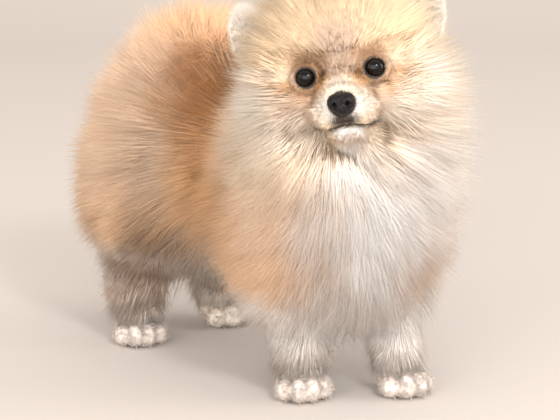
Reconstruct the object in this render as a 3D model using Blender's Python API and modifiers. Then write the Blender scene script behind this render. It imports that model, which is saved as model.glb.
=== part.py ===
"""A pomeranian puppy at life size, standing on all four feet with its head turned to its right.

The dog faces -Y, its left side is +X and the floor is z = 0. Each mass of the body is a ball or a limb of
flesh with the depth of its coat. The masses are moulded into one smooth core, which holds less than half of
the coat's depth, and the coat stands on the core as flat, tapered locks whose tips reach its full depth. The
whole is then parted into the nodes that a person would name.
"""

import math
from collections import Counter

import bmesh
import bpy
import numpy as np
from mathutils import Matrix, Vector
from mathutils.bvhtree import BVHTree

# Units, and the gap that nodes keep
MM = 0.001
GAP = 0.3 * MM
SEAT_CLEARANCE = 1.2 * GAP

# Where the feet stand in mm, x to the dog's left and y to its tail, and how far each turns to the right in
# degrees
FORE_RIGHT_AT = (-25, -69)
FORE_LEFT_AT = (25, -98)
HIND_RIGHT_AT = (-33, 82)
HIND_LEFT_AT = (34, 85)
FORE_RIGHT_TURN = 30
FORE_LEFT_TURN = 10
HIND_RIGHT_TURN = 28
HIND_LEFT_TURN = -8

# The head's own frame: its origin is midway between the eyes, x to its left, y to its back, z up
HEAD_AT = (-35.0, -113.7, 196.3)
HEAD_TURN = 44
HEAD_LIFT = 9.5
HEAD_TILT = 9.5

# The face, in mm in the head's frame
EYE_APART = 37.4
EYE_RADIUS = 6.0
EYE_OPENING = 4.9
EYE_OUTWARD = 0.16
LID_THICKNESS = 1.4
LID_SIDES = 10
NOSE_AT = (0, -26.5, -16.5)
NOSE_SIZE = (7.6, 6.0, 6.2)
MOUTH_DROP = 29.5
MOUTH_HALF_WIDTH = 15.6
MOUTH_ARCH = 1.6
MOUTH_STEPS = 8
LIP_RADIUS = 1.5
LIP_RISE = 1.7
LIP_INSET = 0.7
MOUTH_RADIUS = 1.1
CLEFT_RADIUS = 0.7
CLEFT_HEIGHTS = (9, 6, 3, 0)
EAR_ROOT = (45, 31, 7)
EAR_TIP = (51, 28, 43)
EAR_SIZE = (12, 5, 19)
EAR_CUP_AT = (0, 4.2, 1.5)
EAR_CUP_SIZE = (8.6, 4.6, 14.5)
EAR_FACES = (0.5, -1.0, 0.1)

# Masses in mm: centre, radii of the flesh, depth of the coat along each axis and how far the coat is shifted
TRUNK_BALLS = (
    ((0, -40, 120), (37, 54, 38), (26, 24, 32), (0, 0, -4)),
    ((3, -80, 112), (30, 27, 32), (36, 30, 38), (2, 0, -4)),
    ((25, -66, 108), (19, 25, 34), (32, 28, 34), (2, 0, -6)),
    ((-25, -58, 108), (19, 25, 34), (29, 26, 34), (0, 0, -6)),
    ((0, 25, 123), (31, 52, 31), (29, 20, 34), (0, 0, -5)),
    ((0, 78, 121), (32, 32, 34), (34, 37, 31), (0, 2, -2)),
    ((25, 82, 94), (18, 28, 29), (23, 32, 25), (0, 2, -2)),
    ((-25, 82, 94), (18, 28, 29), (23, 32, 25), (0, 2, -2)),
    ((0, -68, 138), (33, 34, 33), (38, 30, 32), (2, -4, -4)),
    ((-9, -78, 158), (31, 30, 30), (43, 30, 26), (9, -4, -8)),
    ((-16, -86, 176), (29, 28, 28), (38, 26, 18), (14, 6, -5)),
)
TAIL_PATH = ((0, 96, 134), (0, 103, 152), (0, 95, 168), (0, 72, 179), (0, 46, 181), (0, 24, 177))
TAIL_RADII = (10, 9, 8, 7, 6, 4)
TAIL_COAT = 25

# The head's masses with a long coat, and those of the face, whose coat is short
HEAD_BALLS = (
    ((0, 24, 10), (29, 31, 26), (24, 8, 19), (0, 10, 0)),
    ((17, 12, -10), (12, 17, 14), (30, 11, 28), (7, 12, -1)),
    ((-17, 12, -10), (12, 17, 14), (30, 11, 28), (-7, 12, -1)),
    ((0, 6, 12), (21, 12, 13), (8, 4, 7), (0, 4, 3)),
)
FACE_BALLS = (
    ((20, 8, 1), (13, 9.5, 12), (6, 1, 4), (2, 1, 0)),
    ((-20, 8, 1), (13, 9.5, 12), (6, 1, 4), (-2, 1, 0)),
    ((0, 2, -13), (15, 14, 12), (2, 2, 2), (0, 0, 0)),
    ((8, -10, -22.5), (8, 12, 7.5), (1.5, 1, 1), (0, 0, 0)),
    ((-8, -10, -22.5), (8, 12, 7.5), (1.5, 1, 1), (0, 0, 0)),
)
# Start and its radius, end and its radius, depth of the coat
MUZZLE_LIMB = (((0, 0, -12), 15), ((0, -18, -16.5), 9.5), 1)
JAW_LIMB = (((0, 14, -26), 14), ((0, -9, -31), 8.0), 1)

# Each leg: where its foot stands and how far it turns, then its joints from the root down and their radii
FORE_RIGHT_JOINTS = ((-26, -60, 92), (-26, -62, 62))
FORE_LEFT_JOINTS = ((26, -72, 92), (26, -80, 62))
HIND_RIGHT_JOINTS = ((-25, 80, 86), (-31, 74, 62), (-33, 92, 36))
HIND_LEFT_JOINTS = ((25, 82, 86), (31, 76, 62), (34, 95, 36))
FORE_RADII = (15, 13)
HIND_RADII = (21, 16, 11)
LEGS = (
    ("fore", "right", FORE_RIGHT_AT, FORE_RIGHT_TURN, FORE_RIGHT_JOINTS, FORE_RADII),
    ("fore", "left", FORE_LEFT_AT, FORE_LEFT_TURN, FORE_LEFT_JOINTS, FORE_RADII),
    ("hind", "right", HIND_RIGHT_AT, HIND_RIGHT_TURN, HIND_RIGHT_JOINTS, HIND_RADII),
    ("hind", "left", HIND_LEFT_AT, HIND_LEFT_TURN, HIND_LEFT_JOINTS, HIND_RADII),
)
ANKLE_RADIUS = 9.5
ANKLE_AT = (0, 6, 24)
LEG_COAT = 6
PAW_HEIGHT = 21
# Toes across and ahead of the foot's middle with their half height, and the claws' tips
TOES = ((-11.0, -6.0, 7.0), (-3.9, -11.5, 7.8), (3.9, -11.5, 7.8), (11.0, -6.0, 7.0))
TOE_WIDTH = 5.0
TOE_LENGTH = 9.0
TOE_SINK = 0.8
CLAWS = ((-11.4, -14.0), (-4.1, -19.5), (4.1, -19.5), (11.4, -14.0))
CLAW_HEIGHT = 4.2
CLAW_RADII = (1.6, 0.4)
CLAW_LENGTH = 6
CLAW_SLOPE = 62

# Each mould: its voxel in mm, passes of smoothing and the triangles left
TRUNK_MOULD = (4.0, 10, 800)
HEAD_MOULD = (1.5, 6, 1000)
NOSE_MOULD = (0.6, 4, 160)
NOSTRIL_MOULD = (0.4, 1, 80)
PAW_MOULD = (1.2, 3, 210)
LEG_MOULD = (2.5, 4, 190)

# The coat: the core's share of its depth, how far apart the locks' tips stand, and how a lock's length grows
CORE_SHARE = 0.42
TRUNK_SPACING = 27
HEAD_SPACING = 23.5
TAIL_SPACING = 27
FRINGE_SPACING = 24
UNDERSIDE_SPREAD = 1.3
LOCK_LENGTH = 15
LOCK_LENGTH_BY_DEPTH = 2.0
LOCK_WIDTH = 1.12
LOCK_RIDGE = 3.4
LOCK_YAW = 10
ROOT_DEPTH = 5
TIP_STANDS_OUT = 3
STRAY = 12
FACES_ROUND = 6
SEED = 7
# A lock's stations along it, each with its share of the full width
STATIONS = ((0.0, 0.75), (0.34, 1.0), (0.7, 0.76))
# The part of the face whose fur is short, as the middle and half sizes of an oval across and up the head
FACE_MIDDLE = (0, -9)
FACE_HALF = (33, 34)
FACE_DEPTH = 14
# Round each eye and ear the locks leave this much room
EYE_ROOM = 15
EAR_ROOM = 15
# The fringe over each leg: its tips' height, how far outside the leg they hang, and their places round it in
# degrees from the outer side towards the tail
FRINGE_HEIGHT = 46
FRINGE_DEPTH = 15
FRINGE_REACH = {"hind": 29, "fore": 26}
FRINGE_TURNS = {"hind": (-75, -25, 25, 75, 125, 165), "fore": (-20, 40, 100)}

# The parting planes, each as a point in mm and the direction of the front piece
HEAD_PLANE = ((-14, -84, 168), (-0.42, -0.52, 0.74))
NECK_PLANE = ((0, -62, 136), (0, -0.78, 0.62))
TAIL_PLANE = ((0, 60, 178), (0, -0.03, 1.0))
BLOCK_SIDE = 0.8

# Colour and roughness of each finish
COAT = ((0.78, 0.55, 0.33), 0.9)
CREAM_COAT = ((0.86, 0.74, 0.58), 0.9)
PALE_COAT = ((0.88, 0.83, 0.77), 0.9)
EYE_GLOSS = ((0.012, 0.009, 0.008), 0.05)
NOSE_LEATHER = ((0.02, 0.018, 0.018), 0.35)
SHARP_ANGLE = 35


def vec(values):
    return Vector(values) * MM


def clear_scene():
    for obj in list(bpy.data.objects):
        bpy.data.objects.remove(obj, do_unlink=True)


def new_collection(name):
    made = bpy.data.collections.new(name)
    bpy.context.scene.collection.children.link(made)
    return made


def head_frame():
    turn = Matrix.Rotation(math.radians(-HEAD_TURN), 4, "Z")
    lift = Matrix.Rotation(math.radians(-HEAD_LIFT), 4, "X")
    tilt = Matrix.Rotation(math.radians(-HEAD_TILT), 4, "Y")
    return Matrix.Translation(vec(HEAD_AT)) @ turn @ lift @ tilt


def foot_frame(at, turn):
    return Matrix.Translation(vec((*at, 0))) @ Matrix.Rotation(math.radians(-turn), 4, "Z")


def add_ball(bm, centre, radii, frame=Matrix(), detail=3):
    size = Matrix.Diagonal((*vec(radii), 1.0))
    bmesh.ops.create_icosphere(
        bm, subdivisions=detail, radius=1.0, matrix=frame @ Matrix.Translation(vec(centre)) @ size
    )


def add_limb(bm, start, start_radius, end, end_radius, frame=Matrix(), detail=3):
    """A tapered limb with round ends, as a close row of balls."""
    start, end = Vector(start), Vector(end)
    steps = max(2, math.ceil((end - start).length / (0.25 * min(start_radius, end_radius))))
    for i in range(steps + 1):
        share = i / steps
        radius = start_radius + (end_radius - start_radius) * share
        add_ball(bm, start.lerp(end, share), (radius,) * 3, frame, detail)


def object_from(bm, name, where):
    mesh = bpy.data.meshes.new(name)
    bm.to_mesh(mesh)
    bm.free()
    obj = bpy.data.objects.new(name, mesh)
    where.objects.link(obj)
    return obj


def apply_modifiers(obj):
    """The object's mesh becomes what its modifiers make of it."""
    bpy.context.view_layer.update()
    graph = bpy.context.evaluated_depsgraph_get()
    made = bpy.data.meshes.new_from_object(obj.evaluated_get(graph))
    obj.modifiers.clear()
    old = obj.data
    obj.data = made
    bpy.data.meshes.remove(old)


def mould(obj, voxel, passes, triangles):
    """One smooth closed surface round all the object's balls, with about that many triangles."""
    remesh = obj.modifiers.new("mould", "REMESH")
    remesh.mode = "VOXEL"
    remesh.voxel_size = voxel * MM
    smooth = obj.modifiers.new("soften", "SMOOTH")
    smooth.factor = 0.5
    smooth.iterations = passes
    apply_modifiers(obj)
    thin = obj.modifiers.new("thin out", "DECIMATE")
    thin.ratio = min(1.0, triangles / (2 * len(obj.data.polygons)))
    thin.use_collapse_triangulate = True
    apply_modifiers(obj)
    return obj


def combine(obj, operation, others, solver="EXACT"):
    """Joins a collection of closed pieces to the object, or cuts it by them, and removes them."""
    pieces = new_collection("pieces")
    for other in others:
        for home in list(other.users_collection):
            home.objects.unlink(other)
        pieces.objects.link(other)
    boolean = obj.modifiers.new("combine", "BOOLEAN")
    boolean.operation = operation
    boolean.operand_type = "COLLECTION"
    boolean.collection = pieces
    boolean.solver = solver
    apply_modifiers(obj)
    for other in list(pieces.objects):
        bpy.data.objects.remove(other, do_unlink=True)
    bpy.data.collections.remove(pieces)
    return obj


def copy_of(obj, name):
    made = bpy.data.objects.new(name, obj.data.copy())
    for home in obj.users_collection:
        home.objects.link(made)
    return made


def seat(whole, obj):
    """Cuts the room that the object takes in the whole, a gap's width larger, and keeps the object."""
    room = copy_of(obj, "seat")
    bm = bmesh.new()
    bm.from_mesh(room.data)
    bm.normal_update()
    moves = [vert.normal * SEAT_CLEARANCE * min(2.0, vert.calc_shell_factor()) for vert in bm.verts]
    for vert, move in zip(bm.verts, moves):
        vert.co += move
    bm.to_mesh(room.data)
    bm.free()
    return combine(whole, "DIFFERENCE", [room], "MANIFOLD")


def keep_largest(obj):
    """Drops all but the largest closed surface: loose scraps, and hollows that fusing has sealed."""
    bm = bmesh.new()
    bm.from_mesh(obj.data)
    unseen = set(bm.faces)
    shells = []
    while unseen:
        shell = [unseen.pop()]
        for face in shell:
            for edge in face.edges:
                for near in edge.link_faces:
                    if near in unseen:
                        unseen.remove(near)
                        shell.append(near)
        shells.append(shell)
    shells.sort(key=lambda shell: sum(face.calc_area() for face in shell))
    spare = [face for shell in shells[:-1] for face in shell]
    bmesh.ops.delete(bm, geom=spare, context="FACES")
    bm.to_mesh(obj.data)
    bm.free()
    return obj


def drop_folds(obj):
    """Splits the faces into triangles and drops those that lie back to back on the same corners."""
    mesh = obj.data
    mesh.calc_loop_triangles()
    triangles = [tuple(triangle.vertices) for triangle in mesh.loop_triangles]
    uses = Counter(frozenset(corners) for corners in triangles)
    places = [vert.co.copy() for vert in mesh.vertices]
    mesh.clear_geometry()
    mesh.from_pydata(places, [], [corners for corners in triangles if uses[frozenset(corners)] == 1])
    bm = bmesh.new()
    bm.from_mesh(mesh)
    bmesh.ops.delete(bm, geom=[vert for vert in bm.verts if not vert.link_faces], context="VERTS")
    bm.to_mesh(mesh)
    bm.free()


def beyond(plane, sign, where):
    """A big block that ends half a gap past the plane, so that a cut leaves the side that sign names."""
    point, normal = vec(plane[0]), Vector(plane[1]).normalized() * sign
    turned = normal.to_track_quat("Z", "Y").to_matrix().to_4x4()
    middle = point - normal * (BLOCK_SIDE / 2 - GAP / 2)
    bm = bmesh.new()
    bmesh.ops.create_cube(bm, size=BLOCK_SIDE, matrix=Matrix.Translation(middle) @ turned)
    return object_from(bm, "block", where)


def part_off(whole, plane, name, where):
    """Cuts the front piece off the whole along a plane. The whole keeps the rest."""
    front = copy_of(whole, name)
    combine(front, "DIFFERENCE", [beyond(plane, 1, where)], "MANIFOLD")
    combine(whole, "DIFFERENCE", [beyond(plane, -1, where)], "MANIFOLD")
    return keep_largest(front)


def coated(mass, share):
    """A mass of flesh with that share of its coat's depth: its centre and radii."""
    centre, radii, coat, shift = (Vector(v) for v in mass)
    return centre + shift * share, radii + coat * share


def trunk_form(share, where):
    bm = bmesh.new()
    for mass in TRUNK_BALLS:
        add_ball(bm, *coated(mass, share))
    ends = list(zip(TAIL_PATH, TAIL_RADII))
    for (start, start_radius), (end, end_radius) in zip(ends, ends[1:]):
        add_limb(bm, start, start_radius + TAIL_COAT * share, end, end_radius + TAIL_COAT * share)
    return mould(object_from(bm, "trunk", where), *TRUNK_MOULD)


def head_form(share, where):
    frame = head_frame()
    bm = bmesh.new()
    for mass in HEAD_BALLS + FACE_BALLS:
        add_ball(bm, *coated(mass, share), frame)
    for (start, start_radius), (end, end_radius), coat in (MUZZLE_LIMB, JAW_LIMB):
        add_limb(bm, start, start_radius + coat * share, end, end_radius + coat * share, frame)
    return mould(object_from(bm, "head", where), *HEAD_MOULD)


def nose_form(name, where):
    """The nose leather: two wings, a low front and a bridge."""
    frame = head_frame()
    x, y, z = NOSE_AT
    wide, deep, high = NOSE_SIZE
    bm = bmesh.new()
    for side in (-1, 1):
        add_ball(bm, (x + side * 0.42 * wide, y, z + 0.8), (0.6 * wide, deep - 1, 0.8 * high), frame)
    add_ball(bm, (x, y - 0.4, z - 2.2), (0.5 * wide, deep - 1.2, 0.7 * high), frame)
    add_ball(bm, (x, y + 1.0, z + 2.6), (0.72 * wide, deep - 0.6, 0.55 * high), frame)
    return mould(object_from(bm, name, where), *NOSE_MOULD)


def pierce_nostrils(leather, where):
    """Each nostril runs in from the front and out to the side as a slit."""
    x, y, z = NOSE_AT
    frame = head_frame()
    bm = bmesh.new()
    for side in (-1, 1):
        inner, front = (x + side * 3.0, y - 3.4, z - 0.4), (x + side * 4.6, y - 8.0, z - 0.2)
        middle, slit = (x + side * 4.4, y - 4.4, z - 0.8), (x + side * 7.4, y - 3.4, z - 1.8)
        add_limb(bm, inner, 1.0, front, 1.9, frame, 2)
        add_limb(bm, middle, 0.8, slit, 0.6, frame, 2)
    return combine(leather, "DIFFERENCE", [mould(object_from(bm, "nostrils", where), *NOSTRIL_MOULD)])


def ear_line(side):
    """The root and the tip of a pinna."""
    mirror = Vector((side, 1, 1))
    return Vector(EAR_ROOT) * mirror, Vector(EAR_TIP) * mirror


def ear_form(name, side, where):
    """The outer shape of a pinna, and the piece that makes its cup, open to the front."""
    root, tip = ear_line(side)
    along = (tip - root).normalized()
    outward = Vector(EAR_FACES) * Vector((side, 1, 1))
    front = (outward - along * outward.dot(along)).normalized()
    turned = Matrix((front.cross(along), front, along)).transposed().to_4x4()
    frame = head_frame() @ Matrix.Translation(vec(root.lerp(tip, 0.5))) @ turned
    pinna, cup = bmesh.new(), bmesh.new()
    add_ball(pinna, (0, 0, 0), EAR_SIZE, frame, 2)
    add_ball(cup, EAR_CUP_AT, EAR_CUP_SIZE, frame, 2)
    return object_from(pinna, name, where), object_from(cup, "cup", where)


def eye_place(side):
    return Vector((side * EYE_APART / 2, 0, 0))


def eye_form(name, side, where):
    bm = bmesh.new()
    add_ball(bm, eye_place(side), (EYE_RADIUS,) * 3, head_frame(), 2)
    return object_from(bm, name, where)


def lids_form(side, where):
    """A rim round the opening that the eye looks out of."""
    axis = Vector((side * EYE_OUTWARD, -1.0, 0.0)).normalized()
    centre = eye_place(side) + axis * math.sqrt(EYE_RADIUS**2 - EYE_OPENING**2)
    facing = axis.to_track_quat("Z", "Y").to_matrix().to_4x4()
    bm = bmesh.new()
    rim = bmesh.ops.create_circle(bm, segments=4, radius=LID_THICKNESS * MM)["verts"]
    stand = Matrix.Translation(vec((EYE_OPENING + 0.9, 0, 0))) @ Matrix.Rotation(math.pi / 2, 4, "X")
    bmesh.ops.transform(bm, matrix=stand, verts=rim)
    bmesh.ops.spin(
        bm, geom=bm.edges[:], cent=(0, 0, 0), axis=(0, 0, 1), angle=math.tau, steps=LID_SIDES, use_merge=True
    )
    bmesh.ops.remove_doubles(bm, verts=bm.verts, dist=0.01 * MM)
    bmesh.ops.recalc_face_normals(bm, faces=bm.faces)
    bmesh.ops.transform(bm, matrix=head_frame() @ Matrix.Translation(vec(centre)) @ facing, verts=bm.verts)
    return object_from(bm, "lids", where)


def tube(name, points, radius, where):
    """A tube with closed ends along a line, as a mesh."""
    curve = bpy.data.curves.new(name, "CURVE")
    curve.dimensions = "3D"
    curve.bevel_depth = radius * MM
    curve.bevel_resolution = 0
    curve.use_fill_caps = True
    line = curve.splines.new("POLY")
    line.points.add(len(points) - 1)
    for spot, at in zip(line.points, points):
        spot.co = (*at, 1.0)
    drawn = bpy.data.objects.new(name, curve)
    where.objects.link(drawn)
    bpy.context.view_layer.update()
    graph = bpy.context.evaluated_depsgraph_get()
    mesh = bpy.data.meshes.new_from_object(drawn.evaluated_get(graph))
    bpy.data.objects.remove(drawn, do_unlink=True)
    bm = bmesh.new()
    bm.from_mesh(mesh)
    bmesh.ops.remove_doubles(bm, verts=bm.verts, dist=0.001 * MM)
    bmesh.ops.recalc_face_normals(bm, faces=bm.faces)
    bpy.data.meshes.remove(mesh)
    return object_from(bm, name, where)


def surface_of(obj):
    bm = bmesh.new()
    bm.from_mesh(obj.data)
    tree = BVHTree.FromBMesh(bm)
    bm.free()
    return tree


def surface_at(tree, point):
    """The nearest place on a surface, to the micron, and the mean direction of the faces round it."""
    place = Vector(round(part, 6) for part in tree.find_nearest(point)[0])
    reach = FACES_ROUND * MM
    faces = sorted(tree.find_nearest_range(place, reach), key=lambda found: found[2])
    return place, sum((normal * (reach - away) for _, normal, _, away in faces), Vector()).normalized()


def mouth_line(skin, raised, inset):
    """Points on the muzzle along the closed mouth, from one corner round the front to the other."""
    frame = head_frame()
    back = frame.to_3x3() @ Vector((0, 1, 0))
    points = []
    for i in range(MOUTH_STEPS + 1):
        share = 2 * i / MOUTH_STEPS - 1
        across = MOUTH_HALF_WIDTH * math.sin(0.5 * math.pi * share)
        drop = MOUTH_DROP - MOUTH_ARCH * math.cos(1.5 * math.pi * share) * (1 - abs(share))
        hit = skin.ray_cast(frame @ vec((across, -90, raised * (1 - share**6) - drop)), back)[0]
        points.append(hit + back * inset * MM)
    return points


def add_face(head, where):
    """Lids, lips, the line of the mouth and the cleft under the nose."""
    skin = surface_of(head)
    lines = [mouth_line(skin, raised, LIP_INSET) for raised in (-LIP_RISE, LIP_RISE)]
    lips = [tube("lip", line, LIP_RADIUS, where) for line in lines]
    combine(head, "UNION", lips + [lids_form(side, where) for side in (-1, 1)], "MANIFOLD")
    cleft = [mouth_line(skin, raised, 0.0)[MOUTH_STEPS // 2] for raised in CLEFT_HEIGHTS]
    mouth = tube("mouth", mouth_line(skin, 0, -0.1), MOUTH_RADIUS, where)
    return combine(head, "DIFFERENCE", [mouth, tube("cleft", cleft, CLEFT_RADIUS, where)], "MANIFOLD")


def paw_form(at, turn, where):
    """Four toes with claws round a rounded foot."""
    frame = foot_frame(at, turn)
    bm = bmesh.new()
    for across, ahead, high in TOES:
        add_ball(bm, (across, ahead, high - TOE_SINK), (TOE_WIDTH, TOE_LENGTH, high), frame)
    add_ball(bm, (0, 4, 9), (13.5, 15, 10.5), frame)
    add_limb(bm, (0, 5, 12), 11.5, ANKLE_AT, 10.5, frame)
    foot = mould(object_from(bm, "paw", where), *PAW_MOULD)
    claws = []
    for across, ahead in CLAWS:
        bm = bmesh.new()
        place = frame @ Matrix.Translation(vec((across, ahead, CLAW_HEIGHT)))
        place = place @ Matrix.Rotation(math.radians(CLAW_SLOPE), 4, "X")
        wide, tip = vec(CLAW_RADII + (0,))[:2]
        bmesh.ops.create_cone(
            bm, cap_ends=True, segments=4, radius1=wide, radius2=tip, depth=CLAW_LENGTH * MM, matrix=place
        )
        claws.append(object_from(bm, "claw", where))
    return combine(foot, "UNION", claws)


def leg_form(name, at, turn, joints, radii, where):
    """A leg with its short coat, from its root inside the body to the ankle."""
    path = [Vector(joint) for joint in joints] + [foot_frame(at, turn) @ vec(ANKLE_AT) / MM]
    sizes = [radii[0]] + [radius + LEG_COAT for radius in (*radii[1:], ANKLE_RADIUS)]
    bm = bmesh.new()
    for i in range(len(path) - 1):
        add_limb(bm, path[i], sizes[i], path[i + 1], sizes[i + 1])
    return mould(object_from(bm, name, where), *LEG_MOULD)


def stand_flat(obj, where):
    """Cuts off what lies under the floor, so that the foot stands on a flat."""
    return combine(obj, "DIFFERENCE", [beyond(((0, 0, -GAP / 2 / MM), (0, 0, 1)), 1, where)])


def even_directions(count):
    """Directions spread evenly over a sphere."""
    golden = math.pi * (3 - math.sqrt(5))
    for i in range(count):
        up = 1 - (2 * i + 1) / count
        across = math.sqrt(1 - up * up)
        yield Vector((across * math.cos(golden * i), across * math.sin(golden * i), up))


def points_on_ball(mass, frame):
    centre, radii = coated(mass, 1.0)
    for way in even_directions(160):
        yield frame @ vec(centre + radii * way)


def points_on_tail():
    for start, end in zip(TAIL_PATH, TAIL_PATH[1:]):
        for share in (0.25, 0.75):
            middle = Vector(start).lerp(Vector(end), share)
            for way in even_directions(80):
                yield vec(middle + way * (TAIL_COAT + TAIL_RADII[2]))


def trunk_lie(point):
    """Back along the body, down its sides and out from the middle line."""
    return Vector((0.25 * math.copysign(1, point.x), 0.65, -0.7))


def head_lie(point):
    """Away from the nose, and down under the fur's own weight at the back."""
    away = (point - head_frame() @ vec(NOSE_AT)).normalized()
    return away + Vector((0, 0, -0.35))


def tail_lie(point):
    """Forward along the tail as it lies over the back, and down to both sides."""
    near = min(range(len(TAIL_PATH) - 1), key=lambda i: (vec(TAIL_PATH[i]) - point).length)
    along = (vec(TAIL_PATH[near + 1]) - vec(TAIL_PATH[near])).normalized()
    return along + Vector((0.8 * math.copysign(1, point.x), 0, -0.4))


def coat_points():
    """Points near the coat's outer surface, with the lie of the fur there and how far apart locks stand."""
    for mass in HEAD_BALLS:
        for point in points_on_ball(mass, head_frame()):
            yield point, head_lie, HEAD_SPACING
    for point in points_on_tail():
        yield point, tail_lie, TAIL_SPACING
    for mass in TRUNK_BALLS:
        for point in points_on_ball(mass, Matrix()):
            yield point, trunk_lie, TRUNK_SPACING


def in_face(point):
    local = head_frame().inverted() @ point / MM
    across = (local.x - FACE_MIDDLE[0]) / FACE_HALF[0]
    up = (local.z - FACE_MIDDLE[1]) / FACE_HALF[1]
    return local.y < FACE_DEPTH and across**2 + up**2 < 1


def by_an_eye(point):
    return any((head_frame() @ vec(eye_place(side)) - point).length < EYE_ROOM * MM for side in (-1, 1))


def by_an_ear(point):
    spots = [Vector.lerp(*ear_line(side), share) for side in (-1, 1) for share in (0.35, 0.7, 1.0)]
    return any((head_frame() @ vec(spot) - point).length < EAR_ROOM * MM for spot in spots)


def leg_middle(height, joints, at):
    """Where a leg's middle line passes at a height."""
    path = [Vector(joint) for joint in joints] + [Vector((*at, ANKLE_AT[2]))]
    for upper, lower in zip(path, path[1:]):
        if lower.z <= height <= upper.z:
            return upper.lerp(lower, (upper.z - height) / (upper.z - lower.z))


def fringe_places():
    """Tips of the locks that hang from the body over each leg, outside it and behind it."""
    for end, _, at, _, joints, _ in LEGS:
        middle = leg_middle(FRINGE_HEIGHT, joints, at)
        for turn in FRINGE_TURNS[end]:
            angle = math.radians(turn)
            out = Vector((math.copysign(1, at[0]) * math.cos(angle), math.sin(angle), 0))
            tip = vec(middle + out * FRINGE_REACH[end])
            yield tip, out, Vector((0, 0.15, -1)), FRINGE_DEPTH * MM, FRINGE_SPACING


def lock_places(envelope, core):
    """Where the locks' tips stand, evenly apart on the coat's surface, with its normal, lie and depth."""
    places = list(fringe_places())
    for point, lie, spacing in coat_points():
        near, normal = surface_at(envelope, point)
        if (near - point).length > STRAY * MM or in_face(near) or by_an_ear(near):
            continue
        if normal.z < -0.5:
            spacing = spacing * UNDERSIDE_SPREAD
        if all((near - other[0]).length > spacing * MM for other in places):
            depth = core.ray_cast(near, -normal)[3] or 0
            places.append((near, normal, lie(near), depth, spacing))
    return places


def loft(bm, rings, end):
    """Joins a row of rings of points into one closed form that runs to a point."""
    sides = len(rings[0])
    bm.faces.new(rings[0])
    for ring, following in zip(rings, rings[1:]):
        for i in range(sides):
            j = (i + 1) % sides
            bm.faces.new((ring[i], ring[j], following[j], following[i]))
    for i in range(sides):
        bm.faces.new((rings[-1][i], rings[-1][(i + 1) % sides], end))
    bmesh.ops.triangulate(bm, faces=bm.faces)
    bmesh.ops.recalc_face_normals(bm, faces=bm.faces)


def lock(core, place, rng, where):
    """One flat lock with a low ridge, from its root in the core, bent along the coat's lie, to its tip."""
    tip, normal, lie, depth, spacing = place
    along = Matrix.Rotation(math.radians(rng.uniform(-LOCK_YAW, LOCK_YAW)), 3, normal) @ lie
    along = (along - normal * along.dot(normal)).normalized()
    length = (LOCK_LENGTH * MM + LOCK_LENGTH_BY_DEPTH * depth) * rng.uniform(0.88, 1.12)
    width = spacing * LOCK_WIDTH * rng.uniform(0.9, 1.1) * MM
    stands_out = TIP_STANDS_OUT * rng.uniform(0.2, 1.4) * MM
    root, root_normal = surface_at(core, tip - along * length - normal * depth / 2)
    if in_face(root):
        root, root_normal = surface_at(core, tip - along * length / 2 - normal * depth)
    bend = tip - along * length * 0.48 - normal * 0.3 * depth
    if by_an_eye(root) or by_an_eye(bend):
        return None
    root = root - root_normal * ROOT_DEPTH * MM
    tip = tip + normal * stands_out

    bm = bmesh.new()
    rings = []
    for share, wide in STATIONS:
        at = root * (1 - share) ** 2 + bend * 2 * share * (1 - share) + tip * share**2
        way = ((bend - root) * (1 - share) + (tip - bend) * share).normalized()
        side = way.cross(root_normal.lerp(normal, share)).normalized()
        half = side * width * wide / 2
        ridge = side.cross(way) * LOCK_RIDGE * (0.45 + 0.55 * wide) * MM
        rings.append([bm.verts.new(at - half), bm.verts.new(at + half), bm.verts.new(at + ridge)])
    loft(bm, rings, bm.verts.new(tip))
    return object_from(bm, "lock", where)


def add_coat(whole, where):
    """The coat stands on the core as overlapping locks whose tips reach its full depth."""
    outside = trunk_form(1.0, where)
    combine(outside, "UNION", [head_form(1.0, where)])
    envelope, core = surface_of(outside), surface_of(whole)
    bpy.data.objects.remove(outside, do_unlink=True)
    rng = np.random.default_rng(SEED)
    locks = [lock(core, place, rng, where) for place in lock_places(envelope, core)]
    return keep_largest(combine(whole, "UNION", [made for made in locks if made], "MANIFOLD"))


def material(name, colour, roughness):
    made = bpy.data.materials.new(name)
    made.use_nodes = True
    shader = made.node_tree.nodes["Principled BSDF"]
    shader.inputs["Base Color"].default_value = (*colour, 1.0)
    shader.inputs["Roughness"].default_value = roughness
    shader.inputs["Metallic"].default_value = 0.0
    return made


def finish(obj, colour, roughness, where):
    """Gives the node its own material and smooth shading, and puts it in the model's collection."""
    drop_folds(obj)
    obj.data.materials.clear()
    obj.data.materials.append(material(obj.name, colour, roughness))
    obj.data.shade_smooth()
    obj.data.set_sharp_from_angle(angle=math.radians(SHARP_ANGLE))
    for home in list(obj.users_collection):
        home.objects.unlink(obj)
    where.objects.link(obj)


def stand_on_origin(nodes, where):
    """Parents the nodes to an empty that brings the middle of the whole's footprint to the origin."""
    bpy.context.view_layer.update()
    corners = [Vector(corner) for obj in nodes for corner in obj.bound_box]
    low = Vector(min(corner[i] for corner in corners) for i in range(3))
    high = Vector(max(corner[i] for corner in corners) for i in range(3))
    stand = bpy.data.objects.new("stand point", None)
    stand.location = (-(low.x + high.x) / 2, -(low.y + high.y) / 2, -low.z)
    where.objects.link(stand)
    for obj in nodes:
        obj.parent = stand


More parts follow.
